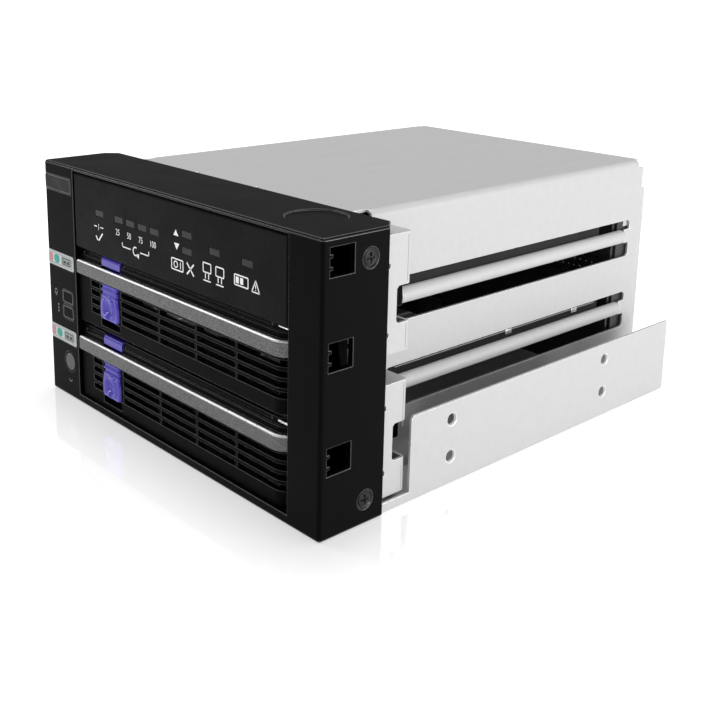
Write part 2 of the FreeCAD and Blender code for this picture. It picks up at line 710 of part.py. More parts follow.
def make_door(name, bottom):
    top = bottom + DOOR_HEIGHT
    trim_top = top - TRIM_TOP_DROP
    wall_left = LATCH_LEFT - CHANNEL_WALL
    wall_right = LATCH_RIGHT + CHANNEL_WALL
    skin = wrapped(door_section(bottom), DOOR_LEFT, END_ANGLE)
    slots, rows = slot_tools(bottom)
    channel = box(
        LATCH_LEFT - LATCH_SIDE_GAP, LATCH_RIGHT + LATCH_SIDE_GAP, -CLEAR,
        DOOR_BACK_Y - DOOR_RIM, bottom + DOOR_RIM, top + CLEAR,
    )
    skin = cut(skin, slots + [channel])

    rim_right = PIN_X - KNUCKLE_R
    rim_y = SKIN_BACK_Y - LEDGE_STEP / 2
    rim = [
        box(DOOR_LEFT, rim_right, rim_y, DOOR_BACK_Y, bottom, bottom + DOOR_RIM),
        box(DOOR_LEFT, wall_left, rim_y, DOOR_BACK_Y, top - DOOR_RIM, top),
        box(wall_right, rim_right, rim_y, DOOR_BACK_Y, top - DOOR_RIM, top),
        box(DOOR_LEFT, DOOR_LEFT + DOOR_RIM, rim_y, DOOR_BACK_Y, bottom, top),
        box(wall_left, LATCH_LEFT - LATCH_SIDE_GAP, rim_y, DOOR_BACK_Y, bottom, top),
        box(LATCH_RIGHT + LATCH_SIDE_GAP, wall_right, rim_y, DOOR_BACK_Y, bottom, top),
        box(wall_left, wall_right, DOOR_BACK_Y - DOOR_RIM, DOOR_BACK_Y,
            bottom, bottom + DOOR_HEIGHT / 2),
    ]
    ribs = []
    low, high = rows[-1] - CLEAR, rows[0] + SLOT_HEIGHT + CLEAR
    for i in range(GRILLE_RIB_COUNT):
        x = PIN_X - GRILLE_RIB_END - i * GRILLE_RIB_PITCH
        if x > wall_right + 2 * GRILLE_RIB:
            ribs.append(box(x - GRILLE_RIB / 2, x + GRILLE_RIB / 2, SKIN_Y + GRILLE_RIB_SINK,
                            SKIN_BACK_Y + GRILLE_RIB, low, high))
    ribs.append(box(DOOR_LEFT + LEFT_SLOT_START - CLEAR, wall_left + SEAM,
                    SKIN_BACK_Y - SEAM, SKIN_BACK_Y + GRILLE_RIB, low, high))
    post = [rod_z(PIN_X, PIN_SETBACK, bottom, top, KNUCKLE_R)]
    for z in (bottom, top - HINGE_ARM_HEIGHT):
        z1 = z + HINGE_ARM_HEIGHT
        post.append(box(rim_right - KNUCKLE_R, PIN_X, SKIN_BACK_Y - SEAM,
                        PIN_SETBACK + KNUCKLE_R, z, z1))
        post.append(box(PIN_X, PIN_X + SKIN_BACK - LEDGE_STEP + DOOR_SKIN / 2,
                        PIN_SETBACK - KNUCKLE_R / 2, PIN_SETBACK, z, z1))
    bore = rod_z(PIN_X, PIN_SETBACK, bottom - CLEAR, top + CLEAR, PIN_R + PIN_CLEARANCE)
    collar_seat = rod_z(PIN_X, PIN_SETBACK, top - SEAM, top + CLEAR, COLLAR_R + PIN_CLEARANCE)
    body = fuse([skin] + rim + ribs + post)
    nodes["door_" + name] = cut(body, [bore, collar_seat])

    trim_low = trim_top - TRIM_HEIGHT
    trim_section = [
        (SKIN_FACE, trim_low), (TRIM_FACE - TRIM_BEVEL / 2, trim_low),
        (TRIM_FACE, trim_low + TRIM_BEVEL / 2), (TRIM_FACE, trim_top - TRIM_BEVEL),
        (TRIM_FACE - TRIM_BEVEL, trim_top), (SKIN_FACE, trim_top),
    ]
    nodes["door_trim_" + name] = wrapped(trim_section, DOOR_LEFT, TRIM_ANGLE)
    make_latch(name, bottom)


def latch_outline(low, high):
    """Front view of the latch: a narrow upper part, a wider body and a bevelled foot."""
    ridges = high - LATCH_RIDGE * LATCH_RIDGE_COUNT
    shoulder = ridges - LATCH_RIDGE
    half = LATCH_WIDTH / 2
    neck = half - LATCH_NECK
    right = [(neck, high), (neck, ridges), (half, shoulder), (half, low + LATCH_FOOT_BEVEL),
             (half - LATCH_FOOT_BEVEL, low)]
    points = [(LATCH_X + x, z) for x, z in right]
    return points + [(LATCH_X - x, z) for x, z in reversed(right)]


def make_latch(name, bottom):
    top = bottom + DOOR_HEIGHT
    trim_top = top - TRIM_TOP_DROP
    body_top = trim_top - TRIM_HEIGHT - LATCH_TOP_GAP
    body_low = body_top - LATCH_BODY_HEIGHT
    face = SKIN_Y - LATCH_PROUD
    thumb = front_view(latch_outline(body_low, body_top), face, LATCH_BACK)
    tools = []
    for i in range(LATCH_RIDGE_COUNT):
        low = body_top - (i + 1) * LATCH_RIDGE
        tools.append(profile(
            [(face - CLEAR, low), (face, low), (face + LATCH_PROUD / 2, low + LATCH_RIDGE),
             (face - CLEAR, low + LATCH_RIDGE)],
            LATCH_LEFT - CLEAR, LATCH_RIGHT + CLEAR,
        ))
    reach = DISH_R + LATCH_FOOT_BEVEL / 2
    tools.append(Part.makeCone(DISH_R, DISH_R - DISH_SLOPE, DISH_DEPTH,
                               vec(LATCH_X, face, body_low + reach), Y_AXIS))
    thumb = cut(thumb, tools)
    half_stem = LATCH_STEM_WIDTH / 2
    stem_back = LATCH_BACK + LATCH_STEM
    stem_low = body_top - LATCH_BODY_HEIGHT / 2
    stem = box(LATCH_X - half_stem, LATCH_X + half_stem, LATCH_BACK - SEAM, stem_back,
               stem_low, trim_top + LATCH_HEAD_GAP + SEAM)
    head_low = trim_top + LATCH_HEAD_GAP
    head_face = SKIN_Y + LATCH_HEAD_GAP
    head = box(LATCH_LEFT, LATCH_RIGHT, head_face, stem_back,
               head_low, head_low + LATCH_HEAD_HEIGHT)

    def front_top(e):
        middle = e.CenterOfMass
        at_top = near(middle.z, head_low + LATCH_HEAD_HEIGHT)
        return along(e, X_AXIS) and near(middle.y, head_face) and at_top

    head = rounded(head, LATCH_HEAD_ROUND, front_top)
    nodes["latch_" + name] = fuse([thumb, stem, head])

    spring_low = bottom + DOOR_RIM + SEAM
    fold = (stem_low - SEAM - spring_low) / SPRING_FOLDS
    zigzag = []
    for i in range(SPRING_FOLDS + 1):
        y = LATCH_BACK + SPRING_THICKNESS + SPRING_REACH * (i % 2)
        zigzag.append((y, spring_low + i * fold))
    outline = zigzag + [(y + SPRING_THICKNESS, z) for y, z in reversed(zigzag)]
    nodes["latch_spring_" + name] = profile(
        outline, LATCH_X - SPRING_WIDTH / 2, LATCH_X + SPRING_WIDTH / 2
    )


def make_hinge_pins():
    joint_z = MIDDLE_RAIL_Z + MIDDLE_RAIL / 2
    for name, low, high, door_top in (
        ("lower", BEZEL_FLOOR_WALL, joint_z - SEAM, DOOR_TOPS[0]),
        ("upper", joint_z + SEAM, CROSS_RAIL_Z + CROSS_RAIL, DOOR_TOPS[1]),
    ):
        shaft = rod_z(PIN_X, PIN_SETBACK, low, high, PIN_R)
        collar = rod_z(PIN_X, PIN_SETBACK, door_top, door_top + COLLAR_HEIGHT, COLLAR_R)
        nodes["hinge_pin_" + name] = fuse([shaft, collar])


# ---- chassis -----------------------------------------------------------------------------

def chassis_shell_profile():
    """The folded sheet, seen along Y, with the feet turned inwards."""
    below = -2 * CHASSIS_BEND
    outer = block(-CHASSIS_HALF, CHASSIS_HALF, CHASSIS_FRONT, CHASSIS_REAR,
                  below, CHASSIS_TOP, CHASSIS_BEND, Y_AXIS)
    inner = block(-CHASSIS_HALF + SHEET, CHASSIS_HALF - SHEET, CHASSIS_FRONT - CLEAR,
                  CHASSIS_REAR + CLEAR, 2 * below, CHASSIS_TOP - SHEET,
                  CHASSIS_BEND - SHEET, Y_AXIS)
    foot_low = SHEET + SEAM
    under = box(-CHASSIS_HALF - CLEAR, CHASSIS_HALF + CLEAR, 0, CHASSIS_REAR + CLEAR,
                below - CLEAR, foot_low)
    shell = cut(outer, [inner, under])
    foot = box(CHASSIS_HALF - FOOT_WIDTH, CHASSIS_HALF - SHEET / 2, CHASSIS_FRONT + FOOT_SETBACK,
               CHASSIS_REAR - FOOT_SETBACK, foot_low, foot_low + SHEET)
    return fuse([shell] + both([foot]))


def side_slot(z):
    return block(CHASSIS_HALF - 2 * SHEET, CHASSIS_HALF + CLEAR, SLOT_FRONT, SLOT_REAR,
                 z - SLOT_SPAN / 2, z + SLOT_SPAN / 2, SLOT_ROUND, X_AXIS)


def side_barrel(z):
    """Half-round barrel lanced outwards along a slot, closed and tapered at its rear."""
    middle = z + BARREL_RISE
    wall_in = CHASSIS_HALF - SHEET
    taper_end = BARREL_TAPER + BARREL_TAPER_LENGTH

    def form(radius, end_wall):
        front = BARREL_FRONT + end_wall
        tube = rod_y(wall_in, front, BARREL_TAPER, middle, radius)
        taper = Part.makeCone(radius, radius / 2, BARREL_TAPER_LENGTH - end_wall,
                              vec(wall_in, BARREL_TAPER, middle), Y_AXIS)
        return tube.fuse(taper)

    hollow = form(BARREL_R - BARREL_WALL, BARREL_WALL)
    outside = box(wall_in, CHASSIS_HALF + 2 * BARREL_R, 0, CHASSIS_REAR, 0, CHASSIS_TOP)
    barrel = form(BARREL_R, 0).cut(hollow).common(outside)
    tongue = box(wall_in, CHASSIS_HALF, taper_end - BARREL_TAPER_LENGTH / 2, SLOT_REAR + SEAM,
                 middle - BARREL_R, middle + BARREL_R)
    return barrel.fuse(tongue.cut(hollow))


def make_chassis_shell():
    lip = box(-CHASSIS_HALF + CHASSIS_BEND, CHASSIS_HALF - CHASSIS_BEND,
              CHASSIS_REAR - SHEET, CHASSIS_REAR, CHASSIS_TOP - REAR_LIP, CHASSIS_TOP - SHEET / 2)
    shell = fuse([chassis_shell_profile(), lip])
    tools = both([side_slot(z) for z in SLOT_MIDDLES])
    relief_in = CHASSIS_BEND + RELIEF_MARGIN
    for y0, y1 in (
        (CHASSIS_FRONT - CLEAR, CHASSIS_FRONT + CORNER_RELIEF),
        (CHASSIS_REAR - CORNER_RELIEF / 2, CHASSIS_REAR + CLEAR),
    ):
        tools += both([box(CHASSIS_HALF - relief_in, CHASSIS_HALF + CLEAR, y0, y1,
                           CHASSIS_TOP - relief_in, CHASSIS_TOP + CLEAR)])
    for share in EDGE_NOTCH_SHARES:
        x = share * CHASSIS_WIDTH
        tools.append(box(x - EDGE_NOTCH / 2, x + EDGE_NOTCH / 2, CHASSIS_FRONT - CLEAR,
                         CHASSIS_FRONT + EDGE_NOTCH, CHASSIS_TOP - SHEET - CLEAR,
                         CHASSIS_TOP + CLEAR))
    for x, y in base_rivet_places():
        tools.append(faceted(vec(x, y, 0), Z_AXIS, 3 * SHEET, RIVET_R + SEAM, RIVET_SIDES))
    shell = cut(shell, tools)
    nodes["chassis_shell"] = fuse([shell] + both([side_barrel(z) for z in SLOT_MIDDLES]))


def make_base_tray():
    above = FLANGE_TOP + SLOT_SPAN
    outer = block(-TRAY_HALF, TRAY_HALF, TRAY_FRONT, TRAY_REAR, 0, above, TRAY_BEND, Y_AXIS)
    inner = box(-TRAY_HALF + SHEET, TRAY_HALF - SHEET, TRAY_FRONT - CLEAR, TRAY_REAR + CLEAR,
                SHEET, above + CLEAR)
    high = box(-TRAY_HALF - CLEAR, TRAY_HALF + CLEAR, 0, TRAY_REAR + CLEAR,
               FLANGE_TOP, above + CLEAR)
    front_step = box(-TRAY_HALF - CLEAR, TRAY_HALF + CLEAR, 0, FLANGE_FRONT,
                     FLANGE_STRIP, FLANGE_TOP + CLEAR)
    tray = cut(outer, [inner, high, front_step])

    def top_front(e):
        middle = e.CenterOfMass
        return along(e, X_AXIS) and near(middle.y, FLANGE_FRONT) and near(middle.z, FLANGE_TOP)

    tray = rounded(tray, FLANGE_CORNER, top_front)
    tools = []
    for y in (SIDE_HOLE_FRONT, SIDE_HOLE_FRONT + SIDE_HOLE_PITCH_Y):
        for z in (SIDE_HOLE_LOW, SIDE_HOLE_LOW + SIDE_HOLE_PITCH_Z):
            hole = rod_x(TRAY_HALF - 2 * SHEET, TRAY_HALF + CLEAR, y, z, SIDE_HOLE_R)
            sink = Part.makeCone(
                SIDE_HOLE_R, SIDE_HOLE_R + SIDE_HOLE_SINK, SIDE_HOLE_SINK,
                vec(TRAY_HALF - SIDE_HOLE_SINK, y, z), X_AXIS,
            )
            tools += both([hole, sink])
    for x, y in base_rivet_places():
        tools.append(faceted(vec(x, y, -CLEAR), Z_AXIS, SHEET + 2 * CLEAR,
                             RIVET_R + SEAM, RIVET_SIDES))
    nodes["base_tray"] = cut(tray, tools)


def base_rivet_places():
    x = CHASSIS_HALF - FOOT_WIDTH / 2
    return [(s * x, y) for s in (-1, 1) for y in RIVET_YS]


def make_bracket(low, screw_z, window, notches):
    """Box bracket: weld flange on the chassis, web outwards, face forwards into the bezel."""
    high = low + BRACKET_HEIGHT
    face_in = BRACKET_FACE - SHEET
    root = CHASSIS_HALF + SEAM
    weld_out = root + SHEET
    bracket = fuse([
        box(face_in, BRACKET_FACE, BRACKET_FRONT, BRACKET_REAR, low, high),
        box(root, BRACKET_FACE, BRACKET_REAR - SHEET, BRACKET_REAR, low, high),
        box(root, weld_out, CHASSIS_FRONT + BEZEL_SEAM, BRACKET_REAR, low, high),
        box(root, BRACKET_FACE, TRAY_FRONT, BRACKET_REAR, high - SHEET, high),
    ])

    def outer_bend(e):
        middle = e.CenterOfMass
        return along(e, Z_AXIS) and near(middle.y, BRACKET_REAR) and near(middle.x, BRACKET_FACE)

    bracket = rounded(bracket, BRACKET_BEND, outer_bend)
    tools = [
        bevel_block(weld_out + SEAM, BRACKET_FACE + CLEAR, WINDOW_FRONT, BRACKET_REAR + CLEAR,
                    low + window[0] * BRACKET_HEIGHT, low + window[1] * BRACKET_HEIGHT,
                    WINDOW_BEVEL, X_AXIS),
        faceted(vec(face_in - CLEAR, SCREW_Y, screw_z), X_AXIS, SHEET + 2 * CLEAR,
                SCREW_SHANK_R, SCREW_SIDES),
    ]
    for share in notches:
        z = low + share * BRACKET_HEIGHT
        tools.append(box(face_in - CLEAR, BRACKET_FACE + CLEAR, BRACKET_FRONT - CLEAR,
                         TRAY_FRONT + NOTCH_DEPTH, z - NOTCH_HEIGHT / 2, z + NOTCH_HEIGHT / 2))
    return cut(bracket, tools)


def make_brackets():
    for level, low, screw_z, window, notches in (
        ("lower", BRACKET_LOWS[0], SCREW_ZS[0], LOWER_WINDOW, LOWER_NOTCHES),
        ("upper", BRACKET_LOWS[1], SCREW_ZS[1], UPPER_WINDOW, UPPER_NOTCHES),
    ):
        bracket = make_bracket(low, screw_z, window, notches)
        nodes["bracket_%s_right" % level] = bracket
        nodes["bracket_%s_left" % level] = mirror_x(bracket)


def make_bezel_screws():
    seat = HALF - SCREW_RECESS_DEPTH
    head_top = HALF - SEAM
    cross_floor = seat + SEAM
    half_slot, half_span = CROSS_SLOT / 2, CROSS_SPAN / 2
    screws = []
    for z in SCREW_ZS:
        head = faceted(vec(seat, SCREW_Y, z), X_AXIS, head_top - seat, SCREW_HEAD_R, SCREW_SIDES)
        head = bevelled(head, SCREW_BEVEL, lambda e: near(e.CenterOfMass.x, head_top))
        shank = faceted(vec(seat - SCREW_LENGTH, SCREW_Y, z), X_AXIS, SCREW_LENGTH + SEAM,
                        SCREW_SHANK_R - SEAM, SCREW_SIDES)
        cross = [
            box(cross_floor, HALF + CLEAR, SCREW_Y - half_slot, SCREW_Y + half_slot,
                z - half_span, z + half_span),
            box(cross_floor, HALF + CLEAR, SCREW_Y - half_span, SCREW_Y + half_span,
                z - half_slot, z + half_slot),
        ]
        screws.append(cut(fuse([head, shank]), cross))
    nodes["bezel_screws"] = Part.makeCompound(both(screws))


def make_rivets():
    rivets = []
    foot_top = 2 * SHEET + SEAM
    for x, y in base_rivet_places():
        shank = faceted(vec(x, y, SEAM), Z_AXIS, foot_top - SEAM, RIVET_R, RIVET_SIDES)
        head = faceted(vec(x, y, foot_top), Z_AXIS, RIVET_HEAD, RIVET_HEAD_R, RIVET_SIDES)
        rivets.append(fuse([shank, head]))
    nodes["base_rivets"] = Part.makeCompound(rivets)


# ---- drive bays --------------------------------------------------------------------------

def drive_floor(bottom):
    """Underside of a drive that stands centred behind its door."""
    return bottom + DOOR_GAP / 2


def make_guides():
    wall = CHASSIS_HALF - SHEET - SEAM
    inner = DRIVE_WIDTH / 2 + DRIVE_SIDE_GAP
    for level, bottom in zip(("lower", "upper"), DOOR_BOTTOMS):
        top = drive_floor(bottom)
        fence_top = top + GUIDE_FENCE_HEIGHT
        ledge = box(inner - GUIDE_LEDGE_WIDTH, wall, GUIDE_FRONT, GUIDE_REAR,
                    top - GUIDE_LEDGE, top)
        fence = box(inner, wall, GUIDE_FRONT, GUIDE_REAR, top - GUIDE_LEDGE, fence_top)

        def lead_in(e):
            middle = e.CenterOfMass
            return along(e, Z_AXIS) and near(middle.x, inner) and near(middle.y, GUIDE_FRONT)

        pieces = [bevelled(fuse([ledge, fence]), GUIDE_LEAD_IN, lead_in)]
        half, quarter = GUIDE_CLIP_LENGTH / 2, GUIDE_CLIP_LENGTH / 4
        for y in GUIDE_CLIP_YS:
            pieces.append(profile(
                [(y - half, fence_top - SEAM), (y - quarter, fence_top + GUIDE_CLIP_HEIGHT),
                 (y + quarter, fence_top + GUIDE_CLIP_HEIGHT), (y + half, fence_top - SEAM)],
                inner, wall,
            ))
        guide = fuse(pieces)
        nodes["drive_guide_%s_right" % level] = guide
        nodes["drive_guide_%s_left" % level] = mirror_x(guide)


def make_shelf_and_board():
    half = CHASSIS_HALF - SHEET - SEAM
    shelf_top = SHELF_Z + SHELF_SHEET
    plate = box(-half, half, SHELF_FRONT, SHELF_REAR, SHELF_Z, shelf_top)
    flange = box(half - SHELF_SHEET, half, SHELF_FRONT, SHELF_REAR, SHELF_Z,
                 SHELF_Z + SHELF_FLANGE)
    nodes["board_shelf"] = fuse([plate] + both([flange]))

    width, length = CONTROL_BOARD
    left, front = -width / 2, CONTROL_BOARD_FRONT
    low = shelf_top + STANDOFF_HEIGHT
    top = low + BOARD
    pieces = [box(left, -left, front, front + length, low, top)]
    for across, back, wide, long, high in BOARD_PIECES:
        x, y = left + across, front + back
        pieces.append(box(x, x + wide, y, y + long, top, top + high))
    nodes["control_board"] = fuse(pieces)
    posts = []
    for x in (left + STANDOFF_INSET, -left - STANDOFF_INSET):
        for y in (front + STANDOFF_INSET, front + length - STANDOFF_INSET):
            posts.append(faceted(vec(x, y, shelf_top), Z_AXIS, STANDOFF_HEIGHT, STANDOFF_R,
                                 STANDOFF_SIDES))
    nodes["board_standoffs"] = Part.makeCompound(posts)

    x0, y0 = left + HEAT_SINK_PLACE[0], front + HEAT_SINK_PLACE[1]
    pieces = [box(x0, x0 + HEAT_SINK, y0, y0 + HEAT_SINK, top, top + HEAT_SINK_BASE)]
    step = (HEAT_SINK - FIN) / (FIN_COUNT - 1)
    for i in range(FIN_COUNT):
        x = x0 + i * step
        pieces.append(box(x, x + FIN, y0, y0 + HEAT_SINK, top + SEAM, top + HEAT_SINK_HEIGHT))
    nodes["controller_heat_sink"] = fuse(pieces)


def make_backplane():
    half = BACKPLANE_WIDTH / 2
    board = box(-half, half, BACKPLANE_Y, BACKPLANE_Y + BOARD, BACKPLANE_LOW, BACKPLANE_HIGH)
    vents = []
    for bottom in DOOR_BOTTOMS:
        low = bottom + VENT_RISE
        for x in VENT_PLACES:
            vents.append(box(x, x + VENT_WIDTH, BACKPLANE_Y - CLEAR, BACKPLANE_Y + BOARD + CLEAR,
                             low, low + VENT_HEIGHT))
    nodes["backplane_board"] = cut(board, vents)
    half = SOCKET_WIDTH / 2
    front = BACKPLANE_Y - SOCKET_DEPTH
    for level, bottom in zip(("lower", "upper"), DOOR_BOTTOMS):
        z = drive_floor(bottom) + SOCKET_RISE
        high = z + SOCKET_HEIGHT / 2
        low = high - SOCKET_HEIGHT + SOCKET_WALL
        body = box(SOCKET_X - half, SOCKET_X + half, front, BACKPLANE_Y, low, high)
        mouth = box(SOCKET_X - half + 2 * SOCKET_WALL, SOCKET_X + half - 2 * SOCKET_WALL,
                    front - CLEAR, BACKPLANE_Y - SOCKET_WALL,
                    z - CONTACT_TONGUE, z + 2 * CONTACT_TONGUE)
        tongues = []
        for x0, x1 in TONGUE_SPANS:
            tongues.append(box(SOCKET_X + x0, SOCKET_X + x1, front + SOCKET_WALL,
                               BACKPLANE_Y - SOCKET_WALL / 2, z, z + CONTACT_TONGUE))
        nodes["drive_socket_" + level] = fuse([cut(body, [mouth])] + tongues)


# ---- rear panel and fan ------------------------------------------------------------------

def rear_socket_places():
    """(z, width, height) of the rear sockets, power above and data below."""
    power = [(z,) + POWER_SOCKET for z in POWER_SOCKET_ZS]
    return power + [(z,) + DATA_SOCKET for z in DATA_SOCKET_ZS]


def grill_slots():
    """Level louvres in front of the fan, as long as the circle behind them allows."""
    radius = FAN_BORE_R - CLEAR
    slots = []
    for i in range(GRILL_ROWS):
        rise = (i - (GRILL_ROWS - 1) / 2) * GRILL_PITCH
        half = math.sqrt(radius ** 2 - (abs(rise) + GRILL_SLOT / 2) ** 2)
        z = FAN_Z + rise
        slots.append(box(FAN_X - half, FAN_X + half, CHASSIS_REAR, REAR_FACE + CLEAR,
                         z - GRILL_SLOT / 2, z + GRILL_SLOT / 2))
    return slots


def make_rear():
    half = CHASSIS_HALF - BEZEL_SEAM
    front = CHASSIS_REAR + SEAM
    pan = box(-half, half, front, REAR_FACE, REAR_PAN_LOW, REAR_PAN_HIGH)
    pan = bevelled(pan, REAR_PAN_BEVEL, lambda e: near(e.CenterOfMass.y, REAR_FACE))
    pan = cut(pan, [box(-half + SHEET, half - SHEET, front - CLEAR, REAR_FACE - SHEET,
                        REAR_PAN_LOW + SHEET, REAR_PAN_HIGH - SHEET)])
    ear_x = CHASSIS_HALF - SHEET - SEAM
    ears = []
    for z in (REAR_PAN_LOW + SLOT_ROUND, REAR_PAN_HIGH - SLOT_ROUND - REAR_EAR_HEIGHT):
        ears.append(box(ear_x - SHEET, ear_x, CHASSIS_REAR - REAR_EAR, REAR_FACE - SHEET / 2,
                        z, z + REAR_EAR_HEIGHT))
    pan = fuse([pan] + both(ears))
    tools = grill_slots()
    for z, width, height in rear_socket_places():
        tools.append(box(REAR_SOCKET_X - width / 2 - WINDOW_GAP,
                         REAR_SOCKET_X + width / 2 + WINDOW_GAP, front - CLEAR,
                         REAR_FACE + CLEAR,
                         z - height / 2 - WINDOW_GAP, z + height / 2 + WINDOW_GAP))
    for x, z in fan_screw_places():
        tools.append(faceted(vec(x, front - CLEAR, z), Y_AXIS, REAR_PAN_DEPTH + 2 * CLEAR,
                             FAN_SCREW_R + SEAM, FAN_SCREW_SIDES))
    nodes["rear_panel"] = cut(pan, tools)

    back = BACKPLANE_Y + BOARD
    mouth_y = back + SOCKET_FLOOR
    power, data = [], []
    for z, width, height in rear_socket_places():
        left, right = REAR_SOCKET_X - width / 2, REAR_SOCKET_X + width / 2
        socket = box(left, right, back, REAR_FACE - REAR_SOCKET_REACH,
                     z - height / 2, z + height / 2)
        mouth = box(left + SOCKET_WALL, right - SOCKET_WALL, mouth_y, REAR_FACE + CLEAR,
                    z - height / 2 + SOCKET_WALL, z + height / 2 - SOCKET_WALL)
        socket = socket.cut(mouth)
        contact_end = REAR_FACE - PIN_SHORT
        if (width, height) == POWER_SOCKET:
            half = POWER_PIN / 2
            pins = []
            for i in range(POWER_PIN_COUNT):
                x = REAR_SOCKET_X + (i - (POWER_PIN_COUNT - 1) / 2) * POWER_PIN_PITCH
                pins.append(box(x - half, x + half, mouth_y - SEAM, contact_end,
                                z - half, z + half))
            power.append(fuse([socket] + pins))
        else:
            wide, high = DATA_TONGUE
            tongue = box(REAR_SOCKET_X - wide / 2, REAR_SOCKET_X + wide / 2, mouth_y - SEAM,
                         contact_end, z - high / 2, z + high / 2)
            data.append(fuse([socket, tongue]))
    nodes["power_sockets"] = Part.makeCompound(power)
    nodes["data_sockets"] = Part.makeCompound(data)


def fan_screw_places():
    half = FAN_HOLE_PITCH / 2
    return [(FAN_X + sx * half, FAN_Z + sz * half) for sx in (-1, 1) for sz in (-1, 1)]


def around_fan(shape, angle):
    shape.rotate(vec(0, 0, 0), Y_AXIS, angle)
    shape.translate(vec(FAN_X, 0, FAN_Z))
    return shape


def make_fan():
    half = FAN_SIZE / 2
    frame = block(FAN_X - half, FAN_X + half, FAN_FRONT, FAN_REAR, FAN_Z - half, FAN_Z + half,
                  FAN_CORNER, Y_AXIS)
    tools = [faceted(vec(FAN_X, FAN_FRONT - CLEAR, FAN_Z), Y_AXIS, FAN_DEPTH + 2 * CLEAR,
                     FAN_BORE_R, FAN_BORE_SIDES)]
    for x, z in fan_screw_places():
        tools.append(faceted(vec(x, FAN_FRONT - CLEAR, z), Y_AXIS, FAN_DEPTH + 2 * CLEAR,
                             FAN_SCREW_R, FAN_SCREW_SIDES))
    strut_y = FAN_REAR - FAN_PLATE
    pieces = [cut(frame, tools), rod_y(FAN_X, strut_y, FAN_REAR, FAN_Z, HUB_R)]
    for i in range(STRUT_COUNT):
        strut = box(0, FAN_BORE_R + FAN_PLATE / 2, strut_y, FAN_REAR,
                    -FAN_STRUT / 2, FAN_STRUT / 2)
        pieces.append(around_fan(strut, STRUT_TURN + i * 360.0 / STRUT_COUNT))
    pieces.append(rod_y(FAN_X, FAN_FRONT + SPINDLE_SETBACK, strut_y + SEAM, FAN_Z, SPINDLE_R))
    nodes["fan_frame"] = fuse(pieces)

    hub_front = FAN_FRONT + WINDOW_GAP
    hub_rear = strut_y - WINDOW_GAP
    hub = rod_y(FAN_X, hub_front, hub_rear, FAN_Z, HUB_R)
    hub = bevelled(hub, HUB_BEVEL, lambda e: near(e.CenterOfMass.y, hub_front))
    bore = rod_y(FAN_X, FAN_FRONT + SPINDLE_SETBACK - WINDOW_GAP, hub_rear + CLEAR, FAN_Z,
                 SPINDLE_R + SPINDLE_CLEARANCE)
    half = BLADE_CHORD / 2
    blades = []
    for i in range(BLADE_COUNT):
        blade = box(BLADE_ROOT_R, BLADE_TIP_R, -half, half,
                    -BLADE_THICKNESS / 2, BLADE_THICKNESS / 2)
        blade.rotate(vec(0, 0, 0), X_AXIS, BLADE_PITCH)
        blade.translate(vec(0, (hub_front + hub_rear) / 2, 0))
        blades.append(around_fan(blade, i * 360.0 / BLADE_COUNT))
    nodes["fan_rotor"] = fuse([hub.cut(bore)] + blades)

    screws = []
    for x, z in fan_screw_places():
        front = FAN_FRONT + SPINDLE_SETBACK
        length = REAR_FACE - REAR_SOCKET_REACH / 2 - front
        screws.append(faceted(vec(x, front, z), Y_AXIS, length, FAN_SCREW_R - SEAM,
                              FAN_SCREW_SIDES))
    nodes["fan_screws"] = Part.makeCompound(screws)


# ---- assembly ----------------------------------------------------------------------------

def main():
    make_bezel()
    make_column_pieces()
    make_panel()
    for level, bottom in zip(("lower", "upper"), DOOR_BOTTOMS):
        make_door(level, bottom)
    make_hinge_pins()
    make_chassis_shell()
    make_base_tray()
    make_brackets()
    make_bezel_screws()
    make_rivets()
    make_guides()
    make_shelf_and_board()
    make_backplane()
    make_rear()
    make_fan()
    os.makedirs("parts", exist_ok=True)
    for name, shape in nodes.items():
        shape.translate(vec(0, -MIDDLE_Y, 0))
        shape.exportStep("parts/%s.step" % name)
        print(name, len(shape.Solids), round(shape.Volume, 2), shape.isValid())
    print("hinge axis", PIN_X, PIN_SETBACK - MIDDLE_Y, "rear face", REAR_FACE, "pitch", DOOR_PITCH)
    print("doors", DOOR_BOTTOMS, DOOR_TOPS, "rails", MIDDLE_RAIL_Z, CROSS_RAIL_Z)


main()
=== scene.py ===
# %% [markdown]
# # A hot swap drive cage
# The cage is a folded steel box that fills two 5.25 inch bays. A black bezel at its front carries a
# panel of lamps, a column of keys and two grille doors with violet latches. This lesson dresses the
# packed CAD model, which stays as the fixed frame. Places are read from it where they can be, and
# the others are given in millimetres from its front face.

import json
import math

import bmesh
import bpy
from mathutils import Matrix, Vector


